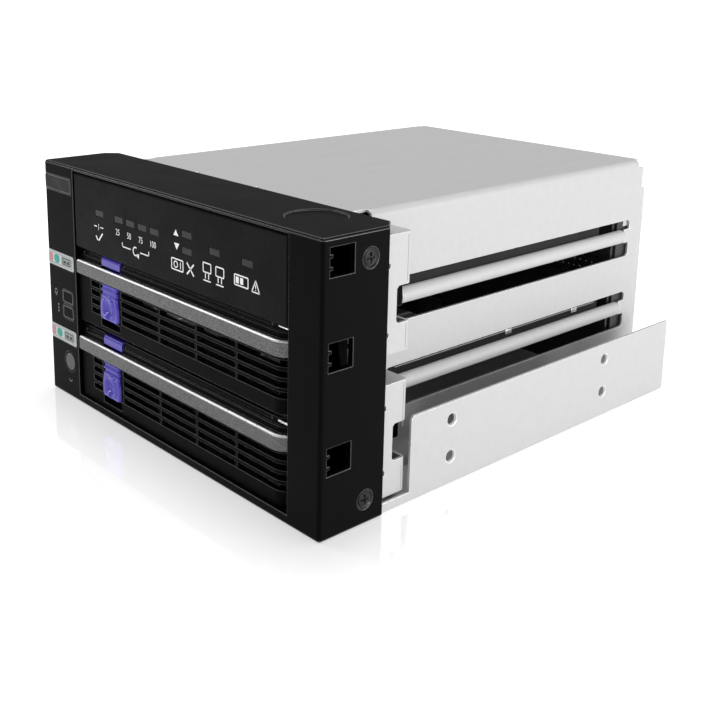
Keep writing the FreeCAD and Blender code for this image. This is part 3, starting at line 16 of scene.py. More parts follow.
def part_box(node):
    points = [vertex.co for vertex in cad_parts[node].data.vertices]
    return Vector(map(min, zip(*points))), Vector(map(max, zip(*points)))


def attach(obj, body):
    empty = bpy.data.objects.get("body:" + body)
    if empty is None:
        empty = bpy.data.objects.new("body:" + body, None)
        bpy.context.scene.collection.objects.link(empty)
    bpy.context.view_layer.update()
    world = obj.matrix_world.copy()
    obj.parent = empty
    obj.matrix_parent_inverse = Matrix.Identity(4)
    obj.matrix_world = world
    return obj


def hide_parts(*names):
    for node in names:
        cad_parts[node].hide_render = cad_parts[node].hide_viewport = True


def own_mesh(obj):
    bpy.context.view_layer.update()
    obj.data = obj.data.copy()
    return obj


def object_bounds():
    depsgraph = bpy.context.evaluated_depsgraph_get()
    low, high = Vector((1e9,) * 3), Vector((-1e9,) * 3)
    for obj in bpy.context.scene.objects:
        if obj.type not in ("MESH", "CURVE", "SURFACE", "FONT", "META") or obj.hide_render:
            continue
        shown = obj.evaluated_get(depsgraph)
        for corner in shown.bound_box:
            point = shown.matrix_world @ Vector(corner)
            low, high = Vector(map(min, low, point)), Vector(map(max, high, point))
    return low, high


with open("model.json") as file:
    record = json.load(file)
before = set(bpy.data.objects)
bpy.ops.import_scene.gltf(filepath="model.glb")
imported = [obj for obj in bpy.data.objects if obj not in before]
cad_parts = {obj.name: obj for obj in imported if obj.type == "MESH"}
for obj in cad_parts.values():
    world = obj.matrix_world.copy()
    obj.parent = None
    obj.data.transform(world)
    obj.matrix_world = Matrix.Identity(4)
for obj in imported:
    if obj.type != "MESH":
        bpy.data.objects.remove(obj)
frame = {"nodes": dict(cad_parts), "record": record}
cad_low, cad_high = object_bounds()
FRONT = cad_low.y
MM = 0.001
slots = {entry["node"]: entry["material_slot"] for entry in frame["record"]["subparts"]}
bodies = frame["record"]["behaviour"]["bodies"]
body_of = {node: body for body, nodes in bodies.items() for node in nodes}
print("size in mm", [round(1000 * v, 1) for v in cad_high - cad_low])

# %% [markdown]
# ## Camera
# The camera stands near the front right corner and looks down a little. Its lens is long, and its
# picture is shifted as in a view camera, so that upright edges lean less than they otherwise would.

# %% Camera
scene = bpy.context.scene
CAMERA_YAW = math.radians(47.64)
CAMERA_PITCH = math.radians(13.03)
CAMERA_ROLL = math.radians(0.98)
CAMERA_PLACE = Vector((0.2668, FRONT - 0.1741, 0.1500))
LENS = 53.35
SENSOR = 36.0
SHIFT = (0.0417, -0.1944)


def link(obj):
    scene.collection.objects.link(obj)
    return obj


camera_data = bpy.data.cameras.new("studio_camera")
camera = link(bpy.data.objects.new("studio_camera", camera_data))
scene.camera = camera
camera_data.sensor_width = SENSOR
camera_data.lens = LENS
camera_data.shift_x, camera_data.shift_y = SHIFT

ahead = Vector((-math.sin(CAMERA_YAW) * math.cos(CAMERA_PITCH),
                math.cos(CAMERA_YAW) * math.cos(CAMERA_PITCH), -math.sin(CAMERA_PITCH)))
level = Vector((math.cos(CAMERA_YAW), math.sin(CAMERA_YAW), 0))
upright = level.cross(ahead)
right = level * math.cos(CAMERA_ROLL) + upright * math.sin(CAMERA_ROLL)
top = -level * math.sin(CAMERA_ROLL) + upright * math.cos(CAMERA_ROLL)
axes = Matrix((right, top, -ahead)).transposed()
camera.matrix_world = Matrix.Translation(CAMERA_PLACE) @ axes.to_4x4()
print("camera", [round(v, 4) for v in CAMERA_PLACE], "lens", LENS)

# %% [markdown]
# ## Floor and lights
# The studio is a pale sweep. A strip of light from the right keeps the steel side bright, a thin one
# from the left gives the black front its sheen, and a broad one from above evens out the lid.

# %% Floor and lights
FLOOR_SPAN = 9.0


def area_light(name, place, aim, size, power):
    lamp = bpy.data.lights.new(name, "AREA")
    lamp.shape = "RECTANGLE"
    lamp.size, lamp.size_y = size
    lamp.energy = power
    obj = link(bpy.data.objects.new(name, lamp))
    obj.location = place
    obj.rotation_mode = "QUATERNION"
    obj.rotation_quaternion = (Vector(aim) - Vector(place)).to_track_quat("-Z", "Y")


floor_mesh = bpy.data.meshes.new("floor")
corners = [(x * FLOOR_SPAN, y * FLOOR_SPAN, 0) for x, y in ((-1, -1), (1, -1), (1, 1), (-1, 1))]
floor_mesh.from_pydata(corners, [], [(0, 1, 2, 3)])
floor = link(bpy.data.objects.new("floor", floor_mesh))

area_light("side_light", (1.0, 0.25, 0.12), (0, 0.03, 0.05), (1.0, 0.4), 12.0)
area_light("edge_light", (-0.75, -0.35, 0.85), (0, -0.05, 0.05), (0.25, 0.9), 2.6)
area_light("top_light", (-0.1, 0.25, 1.2), (0, 0.02, 0.05), (0.9, 0.9), 8.4)
area_light("spark_light", (-0.36, -1.05, 0.26), (0, -0.06, 0.04), (0.12, 0.12), 1.3)
area_light("rear_light", (0.5, 1.1, 0.5), (0, 0.0, 0.05), (0.6, 0.4), 1.5)

# %% [markdown]
# ## Sky
# The camera sees a white sky while the pieces are lit and mirrored by a dimmer one, or the black
# plastic would turn grey. A light path node tells the two apart.

# %% Sky
SKY_STRENGTH = 0.5
WHITE = (1, 1, 1, 1)


def add(tree, kind, links=(), **values):
    """Adds a node, sets its values by name and links a source to each named input."""
    made = tree.nodes.new(kind)
    for key, value in values.items():
        if hasattr(made, key):
            setattr(made, key, value)
        else:
            made.inputs[key.replace("_", " ")].default_value = value
    for socket, source in links:
        tree.links.new(source, made.inputs[socket])
    return made


world = bpy.data.worlds.new("studio")
scene.world = world
world.use_nodes = True
sky = world.node_tree
sky_white = sky.nodes["Background"]
sky_white.inputs["Color"].default_value = WHITE
sky_dim = add(sky, "ShaderNodeBackground", Color=WHITE, Strength=SKY_STRENGTH)
seen = add(sky, "ShaderNodeLightPath").outputs["Is Camera Ray"]
sky_mix = add(sky, "ShaderNodeMixShader", [
    ("Fac", seen), (1, sky_dim.outputs[0]), (2, sky_white.outputs[0])])
sky.links.new(sky_mix.outputs[0], sky.nodes["World Output"].inputs["Surface"])
scene.view_settings.view_transform = "Standard"
print("sky nodes", [n.name for n in sky.nodes])

# %% [markdown]
# ## Finishes
# Every finish starts from one recipe. A broad noise makes the gloss uneven, as handling and moulding
# do, and a fine noise raises a grain of a few hundredths of a millimetre. The noises read the
# object's own coordinates in metres, so a grain keeps its size on every piece.

# %% A recipe for finishes
class Finish:
    """A node material built from a Principled shader."""

    def __init__(self, name, color, rough, metal=0.0, spec=0.5, coat=0.0):
        self.name = name
        self.mat = bpy.data.materials.new(name)
        self.mat.use_nodes = True
        self.tree = self.mat.node_tree
        self.bsdf = self.tree.nodes["Principled BSDF"]
        for key, value in (("Base Color", (*color, 1)), ("Roughness", rough), ("Metallic", metal),
                           ("Specular IOR Level", spec), ("Coat Weight", coat)):
            self.bsdf.inputs[key].default_value = value
        self.height = None

    def node(self, kind, links=(), **values):
        return add(self.tree, "ShaderNode" + kind, links, **values)

    def noise(self, scale, detail=2.0, stretch=(1, 1, 1)):
        where = self.node("TexCoord").outputs["Object"]
        place = self.node("Mapping", [("Vector", where)], Scale=stretch).outputs["Vector"]
        return self.node("TexNoise", [("Vector", place)], Scale=scale, Detail=detail).outputs["Fac"]

    def ramp(self, source, low, high, at=(0.35, 0.65)):
        """Maps the part of the source within the two values of at to the range low to high."""
        return self.node("MapRange", [("Value", source)], From_Min=at[0], From_Max=at[1],
                         To_Min=low, To_Max=high).outputs["Result"]

    def tint(self, source, dark, light):
        made = self.node("Mix", [("Factor", source)], data_type="RGBA", A=(*dark, 1), B=(*light, 1))
        self.tree.links.new(made.outputs["Result"], self.bsdf.inputs["Base Color"])
        return self

    def gloss(self, scale, low, high, stretch=(1, 1, 1)):
        self.tree.links.new(
            self.ramp(self.noise(scale, 3.0, stretch), low, high), self.bsdf.inputs["Roughness"])
        return self

    def grain(self, scale, depth, detail=2.0):
        """Raises a bump, one on top of another if called again. The depth is in millimetres."""
        links = [("Height", self.noise(scale, detail))]
        if self.height is not None:
            links.append(("Normal", self.height))
        made = self.node("Bump", links, Strength=1.0, Distance=depth * MM)
        self.height = made.outputs["Normal"]
        self.tree.links.new(self.height, self.bsdf.inputs["Normal"])
        return self


finishes = {}


def keep(finish):
    finishes[finish.name] = finish


def grey(value):
    return (value, value, value * 1.01)


print("recipe", [step for step in vars(Finish) if not step.startswith("_")])

# %% [markdown]
# ## Plastics
# The bezel is a moulded black plastic with a spark-eroded grain, and the panel's plate is coarser.
# The latches are a violet blue plastic with a soft sheen. A black this deep needs almost no mirror
# of the studio, so its specular level is far below the usual half.

# %% Plastics
keep(Finish("black_plastic", grey(0.0012), 0.48, spec=0.03).gloss(60, 0.46, 0.5).grain(4200, 0.03))
keep(Finish("black_plate", grey(0.0022), 0.5, spec=0.06)
     .gloss(80, 0.46, 0.54).grain(1900, 0.14, 3.0))
keep(Finish("grey_plate", grey(0.013), 0.5, spec=0.1).gloss(200, 0.4, 0.55).grain(4500, 0.02))
keep(Finish("violet_plastic", (0.05, 0.031, 0.38), 0.2, spec=0.5)
     .gloss(150, 0.16, 0.24).grain(4000, 0.02))
keep(Finish("guide_plastic", grey(0.006), 0.5, spec=0.08).gloss(70, 0.42, 0.58).grain(2500, 0.03))
keep(Finish("socket_plastic", grey(0.015), 0.45, spec=0.3).gloss(200, 0.38, 0.5).grain(3500, 0.02))
keep(Finish("socket_white", (0.66, 0.64, 0.58), 0.45, spec=0.4)
     .gloss(200, 0.38, 0.5).grain(3500, 0.02))
keep(Finish("fan_plastic", grey(0.012), 0.42, spec=0.3).gloss(90, 0.35, 0.5).grain(2800, 0.03))
keep(Finish("lamp_lens", grey(0.010), 0.3, spec=0.2).gloss(400, 0.2, 0.35))
keep(Finish("status_film", (0.42, 0.44, 0.44), 0.3, metal=0.3).gloss(500, 0.25, 0.4))
print("plastics", sorted(finishes))

# %% [markdown]
# ## Metals and boards
# The chassis is zinc coated sheet, so its grey is faintly clouded and a little dull. The door
# trims carry a silver paint with metal flakes, and the screws are blackened. Four slots get a second
# finish for their edges: glossier than the faces beside them, and lighter, which paints a highlight
# along each edge.

# %% Metals and boards
zinc = Finish("chassis_steel", (0.5, 0.5, 0.5), 0.45, metal=0.08, spec=0.25)
clouds = zinc.ramp(zinc.noise(420, 4.0), 0, 1, (0.3, 0.7))
zinc.tint(clouds, (0.394, 0.394, 0.396), (0.411, 0.411, 0.413))
keep(zinc.gloss(120, 0.44, 0.5, (1, 0.2, 1)).grain(900, 0.01, 4.0).grain(3000, 0.012))
paint = Finish("silver_trim", (0.3, 0.3, 0.3), 0.35, metal=0.75)
flakes = paint.ramp(paint.noise(4200, 1.0), 0, 1, (0.4, 0.62))
paint.tint(flakes, (0.04, 0.04, 0.04), (0.165, 0.165, 0.165))
keep(paint.gloss(900, 0.28, 0.42).grain(4200, 0.03))
keep(Finish("spring_steel", (0.42, 0.42, 0.43), 0.3, metal=1.0).gloss(300, 0.25, 0.4, (1, 1, 0.1)))
keep(Finish("bright_steel", (0.66, 0.66, 0.67), 0.18, metal=1.0).gloss(500, 0.14, 0.28))
# Painted shade: this near black makes the board shelf deep inside the cage as dark as the shade it lies in;
# the sheet itself would be light.
keep(Finish("dark_steel", grey(0.008), 0.5, spec=0.1).gloss(90, 0.4, 0.55).grain(2600, 0.03))
keep(Finish("dark_screw", (0.024, 0.024, 0.025), 0.2, metal=0.85, spec=0.4)
     .gloss(700, 0.18, 0.3).grain(3000, 0.02))
keep(Finish("brass_post", (0.55, 0.40, 0.16), 0.28, metal=1.0).gloss(600, 0.2, 0.36, (1, 1, 6)))
keep(Finish("heat_sink", (0.32, 0.32, 0.33), 0.4, metal=0.9).gloss(300, 0.34, 0.48).grain(2600, 0.02))
# Painted shade and highlight: this mid grey draws dark fold lines on the light brackets and a light line
# along the black drive guides.
keep(Finish("shade_and_highlight_line", (0.2, 0.2, 0.2), 0.5, metal=0.1).gloss(300, 0.4, 0.6))
mask = Finish("circuit_board", grey(0.008), 0.35, spec=0.4, coat=0.2)
tracks = mask.ramp(mask.noise(900, 1.0, (1, 1, 4)), 0, 1, (0.48, 0.52))
mask.tint(tracks, (0.006, 0.008, 0.007), (0.014, 0.018, 0.015))
keep(mask.gloss(300, 0.3, 0.42))
# Painted highlights: each edge finish is lighter than its slot's face finish, standing in for the light that
# edges catch; its lower roughness is a real difference.
edges = {
    "black_plastic": Finish("black_edge_highlight", grey(0.02), 0.24, spec=0.5).gloss(300, 0.2, 0.3),
    "violet_plastic": Finish("violet_edge_highlight", (0.17, 0.14, 0.66), 0.16, spec=0.6).gloss(150, 0.14, 0.2),
    "chassis_steel": Finish("steel_edge_highlight", (0.62, 0.62, 0.62), 0.3, metal=0.5).gloss(300, 0.24, 0.36),
    "silver_trim": Finish("trim_edge_highlight", (0.66, 0.66, 0.67), 0.3, metal=0.7).gloss(300, 0.26, 0.34),
}
for node, slot_name in slots.items():
    mesh = frame["nodes"][node].data
    mesh.materials.clear()
    mesh.materials.append(finishes[slot_name].mat)
print("finishes", len(finishes), "nodes dressed", len(slots))

# %% [markdown]
# ## Floor finish
# The floor is matt and glows a little, so that it melts into the sky. Near the cage it is polished
# like acrylic: nodes measure the distance from the cage's footprint, and the share of mirror falls
# to nothing over 55 mm. So the front stands above a reflection that fades.

# %% Floor finish
FOOTPRINT = (0.0736, 0.0887, 0)     # half the cage's width and depth
POLISH = 0.34                       # share of mirror beside the cage
FADE = 0.055
matt = Finish("floor_white", (0.5, 0.5, 0.5), 0.4, spec=0.0).gloss(3, 0.35, 0.45)
matt.bsdf.inputs["Emission Color"].default_value = WHITE
matt.bsdf.inputs["Emission Strength"].default_value = 0.8
half = matt.node("VectorMath", [(0, matt.node("TexCoord").outputs["Object"])], operation="ABSOLUTE")
over = matt.node("VectorMath", [(0, half.outputs[0])], operation="SUBTRACT")
over.inputs[1].default_value = FOOTPRINT
near = matt.node("VectorMath", [(0, over.outputs[0])], operation="MAXIMUM")
reach = matt.node("VectorMath", [(0, near.outputs[0])], operation="LENGTH")
share = matt.ramp(reach.outputs["Value"], POLISH, 0.0, (0.0, FADE))
mirror = matt.node("BsdfGlossy", Color=WHITE, Roughness=0.04)
blend = matt.node("MixShader", [("Fac", share), (1, matt.bsdf.outputs[0]), (2, mirror.outputs[0])])
matt.tree.links.new(blend.outputs[0], matt.tree.nodes["Material Output"].inputs["Surface"])
floor_mesh.materials.append(matt.mat)
print("floor polish fades over", FADE, "m")

# %% [markdown]
# ## Softened copies of the CAD pieces
# A moulding or a folded sheet has no edge that is truly sharp. Each CAD mesh is copied and its
# points merged, flat neighbours are joined into whole faces, and a narrow bevel runs along every
# edge that turns by more than 28 degrees. Those narrow bands catch the light, which a knife edge
# can't. Where the slot has an edge finish, the bands also take its lighter colour, a painted
# highlight, and on the door trims the faces that look upwards take it instead. The copy then
# stands for its node, and the frame stays as packed.

# %% Soften edges
MERGE = 2e-6
FLAT_TURN = math.radians(0.8)
SHARP_TURN = math.radians(28)
HIGHLIGHT_SLOPE = (0.25, 0.98)                # a trim face that looks up within these limits gets the lighter edge finish, a painted highlight


def as_mesh(name, bm):
    mesh = bpy.data.meshes.new(name)
    bm.to_mesh(mesh)
    bm.free()
    return mesh


def mesh_object(name, bm):
    return link(bpy.data.objects.new(name, as_mesh(name, bm)))


def evaluated(obj):
    """Replaces an object's mesh by what its modifiers make of it."""
    graph = bpy.context.evaluated_depsgraph_get()
    made = bpy.data.meshes.new_from_object(obj.evaluated_get(graph), depsgraph=graph)
    obj.modifiers.clear()
    obj.data = made


def shade(obj, angle=40):
    """Smooth shading that keeps edges sharper than the angle and flat faces flat."""
    mesh = obj.data
    mesh.polygons.foreach_set("use_smooth", [True] * len(mesh.polygons))
    mesh.set_sharp_from_angle(angle=math.radians(angle))
    normals = obj.modifiers.new("normals", "WEIGHTED_NORMAL")
    normals.weight = 100
    normals.keep_sharp = True
    evaluated(obj)
    return obj


def dress(obj, slot_name, body, node=None):
    """Gives a piece its finish if it has none, parents it to its body's empty and hides the CAD node that it
    stands for.
    """
    if not obj.data.materials:
        obj.data.materials.append(finishes[slot_name].mat)
        # The second material is the slot's edge finish, lighter than its face: a painted highlight on the
        # bevels.
        if slot_name in edges:
            obj.data.materials.append(edges[slot_name].mat)
    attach(obj, body)
    if node:
        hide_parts(node)
    return obj


def bevel_sharp(bm, width, highlight_band):
    """Joins flat neighbours and bevels the sharp edges. The bevels get the material number given, and number
    1 is the lighter edge finish, a painted highlight.
    """
    bmesh.ops.dissolve_limit(bm, angle_limit=FLAT_TURN, verts=bm.verts, edges=bm.edges)
    sharp = [e for e in bm.edges if e.calc_face_angle(0) > SHARP_TURN]
    bmesh.ops.bevel(bm, geom=sharp, offset=width, segments=2, profile=0.5,
                    affect="EDGES", clamp_overlap=False, material=highlight_band)


def soften(node, width):
    bm = bmesh.new()
    bm.from_mesh(frame["nodes"][node].data)
    bmesh.ops.remove_doubles(bm, verts=bm.verts, dist=MERGE)
    # In slots with an edge finish the bevel bands take material 1, a painted highlight.
    bevel_sharp(bm, width, 1 if slots[node] in edges else -1)
    bm.normal_update()
    # Painted highlight: on the door trims the faces that look upwards take the lighter edge finish, as if
    # lit from above, and all other faces take the plain one.
    if slots[node] == "silver_trim":
        for face in bm.faces:
            face.material_index = 1 if HIGHLIGHT_SLOPE[0] < face.normal.z < HIGHLIGHT_SLOPE[1] else 0
    dress(shade(mesh_object(node + "_soft", bm)), slots[node], body_of[node], node)


SOFT = {
    "front_bezel": 0.2, "door_lower": 0.12, "door_upper": 0.12, "indicator_panel": 0.1,
    "key_upper": 0.14, "key_lower": 0.14, "round_button": 0.12, "name_plate": 0.06,
    "door_trim_lower": 0.24, "door_trim_upper": 0.24, "chassis_shell": 0.14, "base_tray": 0.14,
    "bracket_upper_right": 0.14, "bracket_lower_right": 0.14, "bracket_upper_left": 0.14,
    "bracket_lower_left": 0.14, "rear_panel": 0.12, "fan_frame": 0.2, "light_pipes": 0.1,
    "power_sockets": 0.1, "data_sockets": 0.1, "drive_socket_lower": 0.12,
    "drive_socket_upper": 0.12, "drive_guide_lower_right": 0.2, "drive_guide_lower_left": 0.2,
    "drive_guide_upper_right": 0.2, "drive_guide_upper_left": 0.2, "board_shelf": 0.12,
}
for node, width in SOFT.items():
    soften(node, width * MM)
print("softened", len(SOFT))

# %% [markdown]
# ## Inks
# The marks are screen printed. Ink has no depth to speak of, so a plain colour with a slightly
# uneven gloss is enough.

# %% Inks
def ink(name, color, rough=0.5, metal=0.0):
    return Finish(name, color, rough, metal=metal, spec=0.3).gloss(900, rough - 0.08, rough + 0.08)


inks = {
    "white": ink("ink_white", (0.78, 0.78, 0.78)),
    "grey": ink("ink_grey", (0.16, 0.16, 0.165)),
    "pale": ink("ink_pale", (0.26, 0.26, 0.265)),
    "dim": ink("ink_dim", (0.075, 0.075, 0.077)),
    "silver": ink("ink_silver", (0.40, 0.42, 0.42), 0.34, 0.5),
    "red": ink("ink_red", (0.50, 0.20, 0.20)),
    "green": ink("ink_green", (0.03, 0.30, 0.24)),
    "ash": ink("ink_ash", (0.26, 0.28, 0.28)),
    "black": ink("ink_black", (0.02, 0.02, 0.02)),
}
print("inks", list(inks))

# %% [markdown]
# ## A press for thin marks
# Each mark is a thin closed slab that stands a hundredth of a millimetre proud, so it has an edge of
# its own and never flickers against the panel. A line is a run of slabs, an arc a row of wedges, and
# a numeral comes from Blender's own letterforms, turned into a mesh.

# %% Press
INK_THICK = 0.012
CAPITAL = 0.72                      # a numeral's height as a share of its font size
NARROW = 0.82


def rounded_loop(x, z, width, height, corner, steps=4):
    points = []
    for cx, cz, start in ((1, 1, 0), (-1, 1, 90), (-1, -1, 180), (1, -1, 270)):
        for i in range(steps + 1):
            a = math.radians(start + 90 * i / steps)
            points.append((x + cx * (width / 2 - corner) + corner * math.cos(a),
                           z + cz * (height / 2 - corner) + corner * math.sin(a)))
    return points


def outward(bm):
    bmesh.ops.recalc_face_normals(bm, faces=bm.faces)
    return bm


class Print:
    """Thin slabs facing the front, all in one mesh. Places are millimetres on the front face."""

    def __init__(self, depth, thick=INK_THICK):
        self.bm = bmesh.new()
        self.y = FRONT + depth * MM
        self.thick = thick * MM

    def thicken(self, faces):
        made = bmesh.ops.extrude_face_region(self.bm, geom=faces, use_keep_orig=True)
        moved = [v for v in made["geom"] if isinstance(v, bmesh.types.BMVert)]
        bmesh.ops.translate(self.bm, verts=moved, vec=(0, -self.thick, 0))
        return self

    def slab(self, loops):
        """A flat area inside one loop, or between an outer loop and an inner one."""
        rings = [[self.bm.verts.new((x * MM, self.y, z * MM)) for x, z in loop] for loop in loops]
        if len(rings) == 1:
            return self.thicken([self.bm.faces.new(rings[0])])
        outer, inner = rings
        n = len(outer)
        return self.thicken([
            self.bm.faces.new((outer[i], outer[(i + 1) % n], inner[(i + 1) % n], inner[i]))
            for i in range(n)])

    def line(self, points, width):
        for (x0, z0), (x1, z1) in zip(points, points[1:]):
            long = math.hypot(x1 - x0, z1 - z0)
            ex, ez = (x1 - x0) / long * width / 2, (z1 - z0) / long * width / 2
            self.slab([[(x0 - ex + ez, z0 - ez - ex), (x1 + ex + ez, z1 + ez - ex),
                        (x1 + ex - ez, z1 + ez + ex), (x0 - ex - ez, z0 - ez + ex)]])
        return self

    def arc(self, x, z, radius, width, start, end, steps=20):
        out, back = [], []
        for i in range(steps + 1):
            a = math.radians(start + (end - start) * i / steps)
            out.append((x + (radius + width / 2) * math.cos(a), z + (radius + width / 2) * math.sin(a)))
            back.append((x + (radius - width / 2) * math.cos(a), z + (radius - width / 2) * math.sin(a)))
        for i in range(steps):
            self.slab([[out[i], out[i + 1], back[i + 1], back[i]]])
        return self

    def frame(self, x, z, width, height, corner, wide):
        return self.slab([rounded_loop(x, z, width, height, corner),
                          rounded_loop(x, z, width - 2 * wide, height - 2 * wide, max(corner - wide, 0.05))])

    def field(self, x, z, width, height, corner=0.15):
        return self.slab([rounded_loop(x, z, width, height, corner)])

    def word(self, text, x, z, height):
        """Numerals centred on x, with their feet at z."""
        curve = bpy.data.curves.new("letters", "FONT")
        curve.body = text
        curve.align_x = "CENTER"
        curve.size = height / CAPITAL
        curve.resolution_u = 3
        letters = bpy.data.objects.new("letters", curve)
        shape = bmesh.new()
        shape.from_mesh(bpy.data.meshes.new_from_object(letters))
        bmesh.ops.remove_doubles(shape, verts=shape.verts, dist=1e-5)
        places = {}
        for v in shape.verts:
            places[v] = self.bm.verts.new(((x + v.co.x * NARROW) * MM, self.y, (z + v.co.y) * MM))
        self.thicken([self.bm.faces.new([places[v] for v in f.verts]) for f in shape.faces])
        shape.free()
        bpy.data.objects.remove(letters)

    def done(self, name, color, slot_name="status_film", body="cage"):
        obj = mesh_object(name, outward(self.bm))
        obj.data.materials.append(inks[color].mat)
        dress(obj, slot_name, body)
        print(name, len(obj.data.polygons), "faces")


print("marks", INK_THICK, "mm thick")

# %% [markdown]
# ## Panel marks
# White symbols below the lamps say what each one means: a healthy mirror, a rebuild in four steps,
# a failed drive in either bay, a double source and a warning about capacity.

# %% Panel marks
PANEL_FACE = 1000 * (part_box("indicator_panel")[0].y - FRONT)
marks = Print(PANEL_FACE + 0.002)
marks.word("1", -37.6, 66.0, 2.2)
marks.line([(-40.3, 67.1), (-38.9, 67.1)], 0.35).line([(-36.3, 67.1), (-34.9, 67.1)], 0.35)
marks.line([(-39.3, 63.6), (-38.0, 62.2), (-35.4, 65.0)], 0.6)
for x, text in ((-25.7, "25"), (-18.9, "50"), (-12.1, "75"), (-5.2, "100")):
    marks.word(text, x, 66.6, 2.1)
marks.line([(-23.0, 64.6), (-23.0, 63.4), (-18.3, 63.4)], 0.4)
marks.line([(-12.3, 63.4), (-7.6, 63.4), (-7.6, 64.6)], 0.4)
marks.arc(-15.3, 63.3, 1.35, 0.45, 60, 330).slab([[(-14.9, 62.0), (-13.2, 62.9), (-13.4, 61.2)]])
marks.slab([[(6.2, 72.9), (8.9, 72.9), (7.5, 74.8)]])
marks.slab([[(6.5, 70.65), (9.2, 70.65), (7.85, 68.6)]])
marks.frame(8.0, 64.0, 6.4, 3.8, 0.5, 0.42).arc(7.2, 64.0, 0.95, 0.4, 0, 360)
marks.line([(9.7, 64.9), (9.7, 63.1)], 0.35)
marks.line([(13.2, 65.6), (16.4, 62.4)], 0.55).line([(13.2, 62.4), (16.4, 65.6)], 0.55)
for x in (23.2, 29.4):
    marks.frame(x, 66.3, 4.2, 3.2, 0.5, 0.4).line([(x - 0.8, 64.7), (x - 0.8, 63.2)], 0.4)
    marks.line([(x + 0.8, 64.7), (x + 0.8, 63.2)], 0.4).line([(x - 1.6, 62.4), (x + 1.6, 62.4)], 0.4)
marks.frame(39.4, 66.0, 6.6, 3.4, 0.5, 0.4).field(37.6, 66.0, 1.4, 1.9).field(39.6, 66.0, 1.4, 1.9)
marks.line([(44.2, 64.2), (45.9, 67.6), (47.6, 64.2), (44.2, 64.2)], 0.36)
marks.line([(45.9, 66.3), (45.9, 65.5)], 0.34).field(45.9, 64.85, 0.34, 0.34, 0.1)
marks.done("panel_marks", "white")

# %% [markdown]
# ## Column marks
# Each status window is a silver frame with a red field, a green field and a grey one that holds a
# small dark picture of a drive. The keys have a hairline outline and a tiny symbol beside them,
# which lies almost flush with the bezel.

# %% Column marks
WINDOW_X = -64.3
PROUD = 0.002
window_y = 1000 * (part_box("status_windows")[0].y - FRONT)
for number, (low, high) in enumerate(((20.1, 25.3), (47.5, 52.7))):
    z = (low + high) / 2
    Print(window_y - 0.004).frame(WINDOW_X, z, 17.4, 4.9, 0.7, 0.45).done(
        "status_frame_%d" % number, "silver")
    Print(window_y - 0.004).frame(WINDOW_X, z, 16.0, 3.9, 0.6, 0.14).done(
        "status_line_%d" % number, "dim")
    for color, x, width, corner in (
            ("red", -71.05, 2.0, 0.5), ("green", -67.2, 3.8, 1.3), ("ash", -60.4, 7.2, 0.5)):
        Print(window_y - 0.004).field(x, z, width, 3.1, corner).done(
            "status_%s_%d" % (color, number), color)
    dark = Print(window_y - 0.018).frame(-60.4, z, 5.6, 2.5, 0.3, 0.3)
    dark.field(-61.6, z - 0.2, 1.6, 1.0).field(-59.2, z - 0.2, 1.6, 1.0)
    dark.done("status_drive_%d" % number, "black")
for key in ("key_upper", "key_lower"):
    low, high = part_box(key)
    Print(1000 * (low.y - FRONT) - PROUD).frame(
        -60.2, 1000 * (low.z + high.z) / 2, 6.7, 4.1, 0.6, 0.2).done(
        key + "_outline", "grey", "grey_plate", key)
# Painted highlight: a thin grey frame round the name plate stands in for the light caught by its bevelled
# rim.
low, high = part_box("name_plate")
Print(1000 * (low.y - FRONT) - PROUD).frame(WINDOW_X, 77.5, 17.3, 4.9, 0.4, 0.16).done(
    "name_plate_highlight", "grey", "grey_plate")
small = Print(0.001, 0.004)
small.arc(-68.5, 38.0, 0.8, 0.25, 0, 180)
small.line([(-69.3, 38.0), (-69.3, 37.2), (-67.7, 37.2), (-67.7, 38.0)], 0.25)
small.line([(-68.9, 36.6), (-68.1, 36.6)], 0.25)
for z in (30.9, 32.1, 33.3):
    small.arc(-67.1, z, 0.3, 0.22, 0, 360, 8)
small.arc(-60.4, 7.2, 1.1, 0.25, 200, 340, 8)
small.done("column_marks", "pale", "grey_plate")
low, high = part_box("round_button")
Print(1000 * (low.y - FRONT) - PROUD).slab(
    [rounded_loop(-60.2, 500 * (low.z + high.z), 6.2, 6.2, 3.1, 14)]).done(
    "button_disk", "dim", "grey_plate", "round_button")

# %% [markdown]
# ## Node trees
# Whatever repeats is grown by Geometry Nodes: a fold of wire, a screw, a blade, a pin. Each tree has
# named inputs for its sizes, and grow turns its result into a plain mesh.

# %% Node trees
def node_tree(name, numbers):
    """A new tree with a geometry output and one named number input for each size."""
    tree = bpy.data.node_groups.new(name, "GeometryNodeTree")
    tree.interface.new_socket("Geometry", in_out="INPUT", socket_type="NodeSocketGeometry")
    tree.interface.new_socket("Geometry", in_out="OUTPUT", socket_type="NodeSocketGeometry")
    for key, value in numbers.items():
        kind = "NodeSocketInt" if isinstance(value, int) else "NodeSocketFloat"
        tree.interface.new_socket(key, in_out="INPUT", socket_type=kind).default_value = value
    start = tree.nodes.new("NodeGroupInput")
    end = tree.nodes.new("NodeGroupOutput")
    return tree, start.outputs, end.inputs


def calc(tree, operation, *values):
    """The output of a Math node. Each value is a number or another node's output."""
    made = add(tree, "ShaderNodeMath", operation=operation)
    for place, value in enumerate(values):
        if isinstance(value, (int, float)):
            made.inputs[place].default_value = value
        else:
            tree.links.new(value, made.inputs[place])
    return made.outputs[0]


def vector(tree, **axes):
    return add(tree, "ShaderNodeCombineXYZ", list(axes.items())).outputs[0]


def geo(tree, kind, links=(), **values):
    """The output of a new geometry node."""
    return add(tree, "GeometryNode" + kind, links, **values).outputs[0]


def moved(tree, shape, turn=(0, 0, 0), **axes):
    return geo(tree, "Transform", [("Geometry", shape), ("Translation", vector(tree, **axes))],
               Rotation=turn)


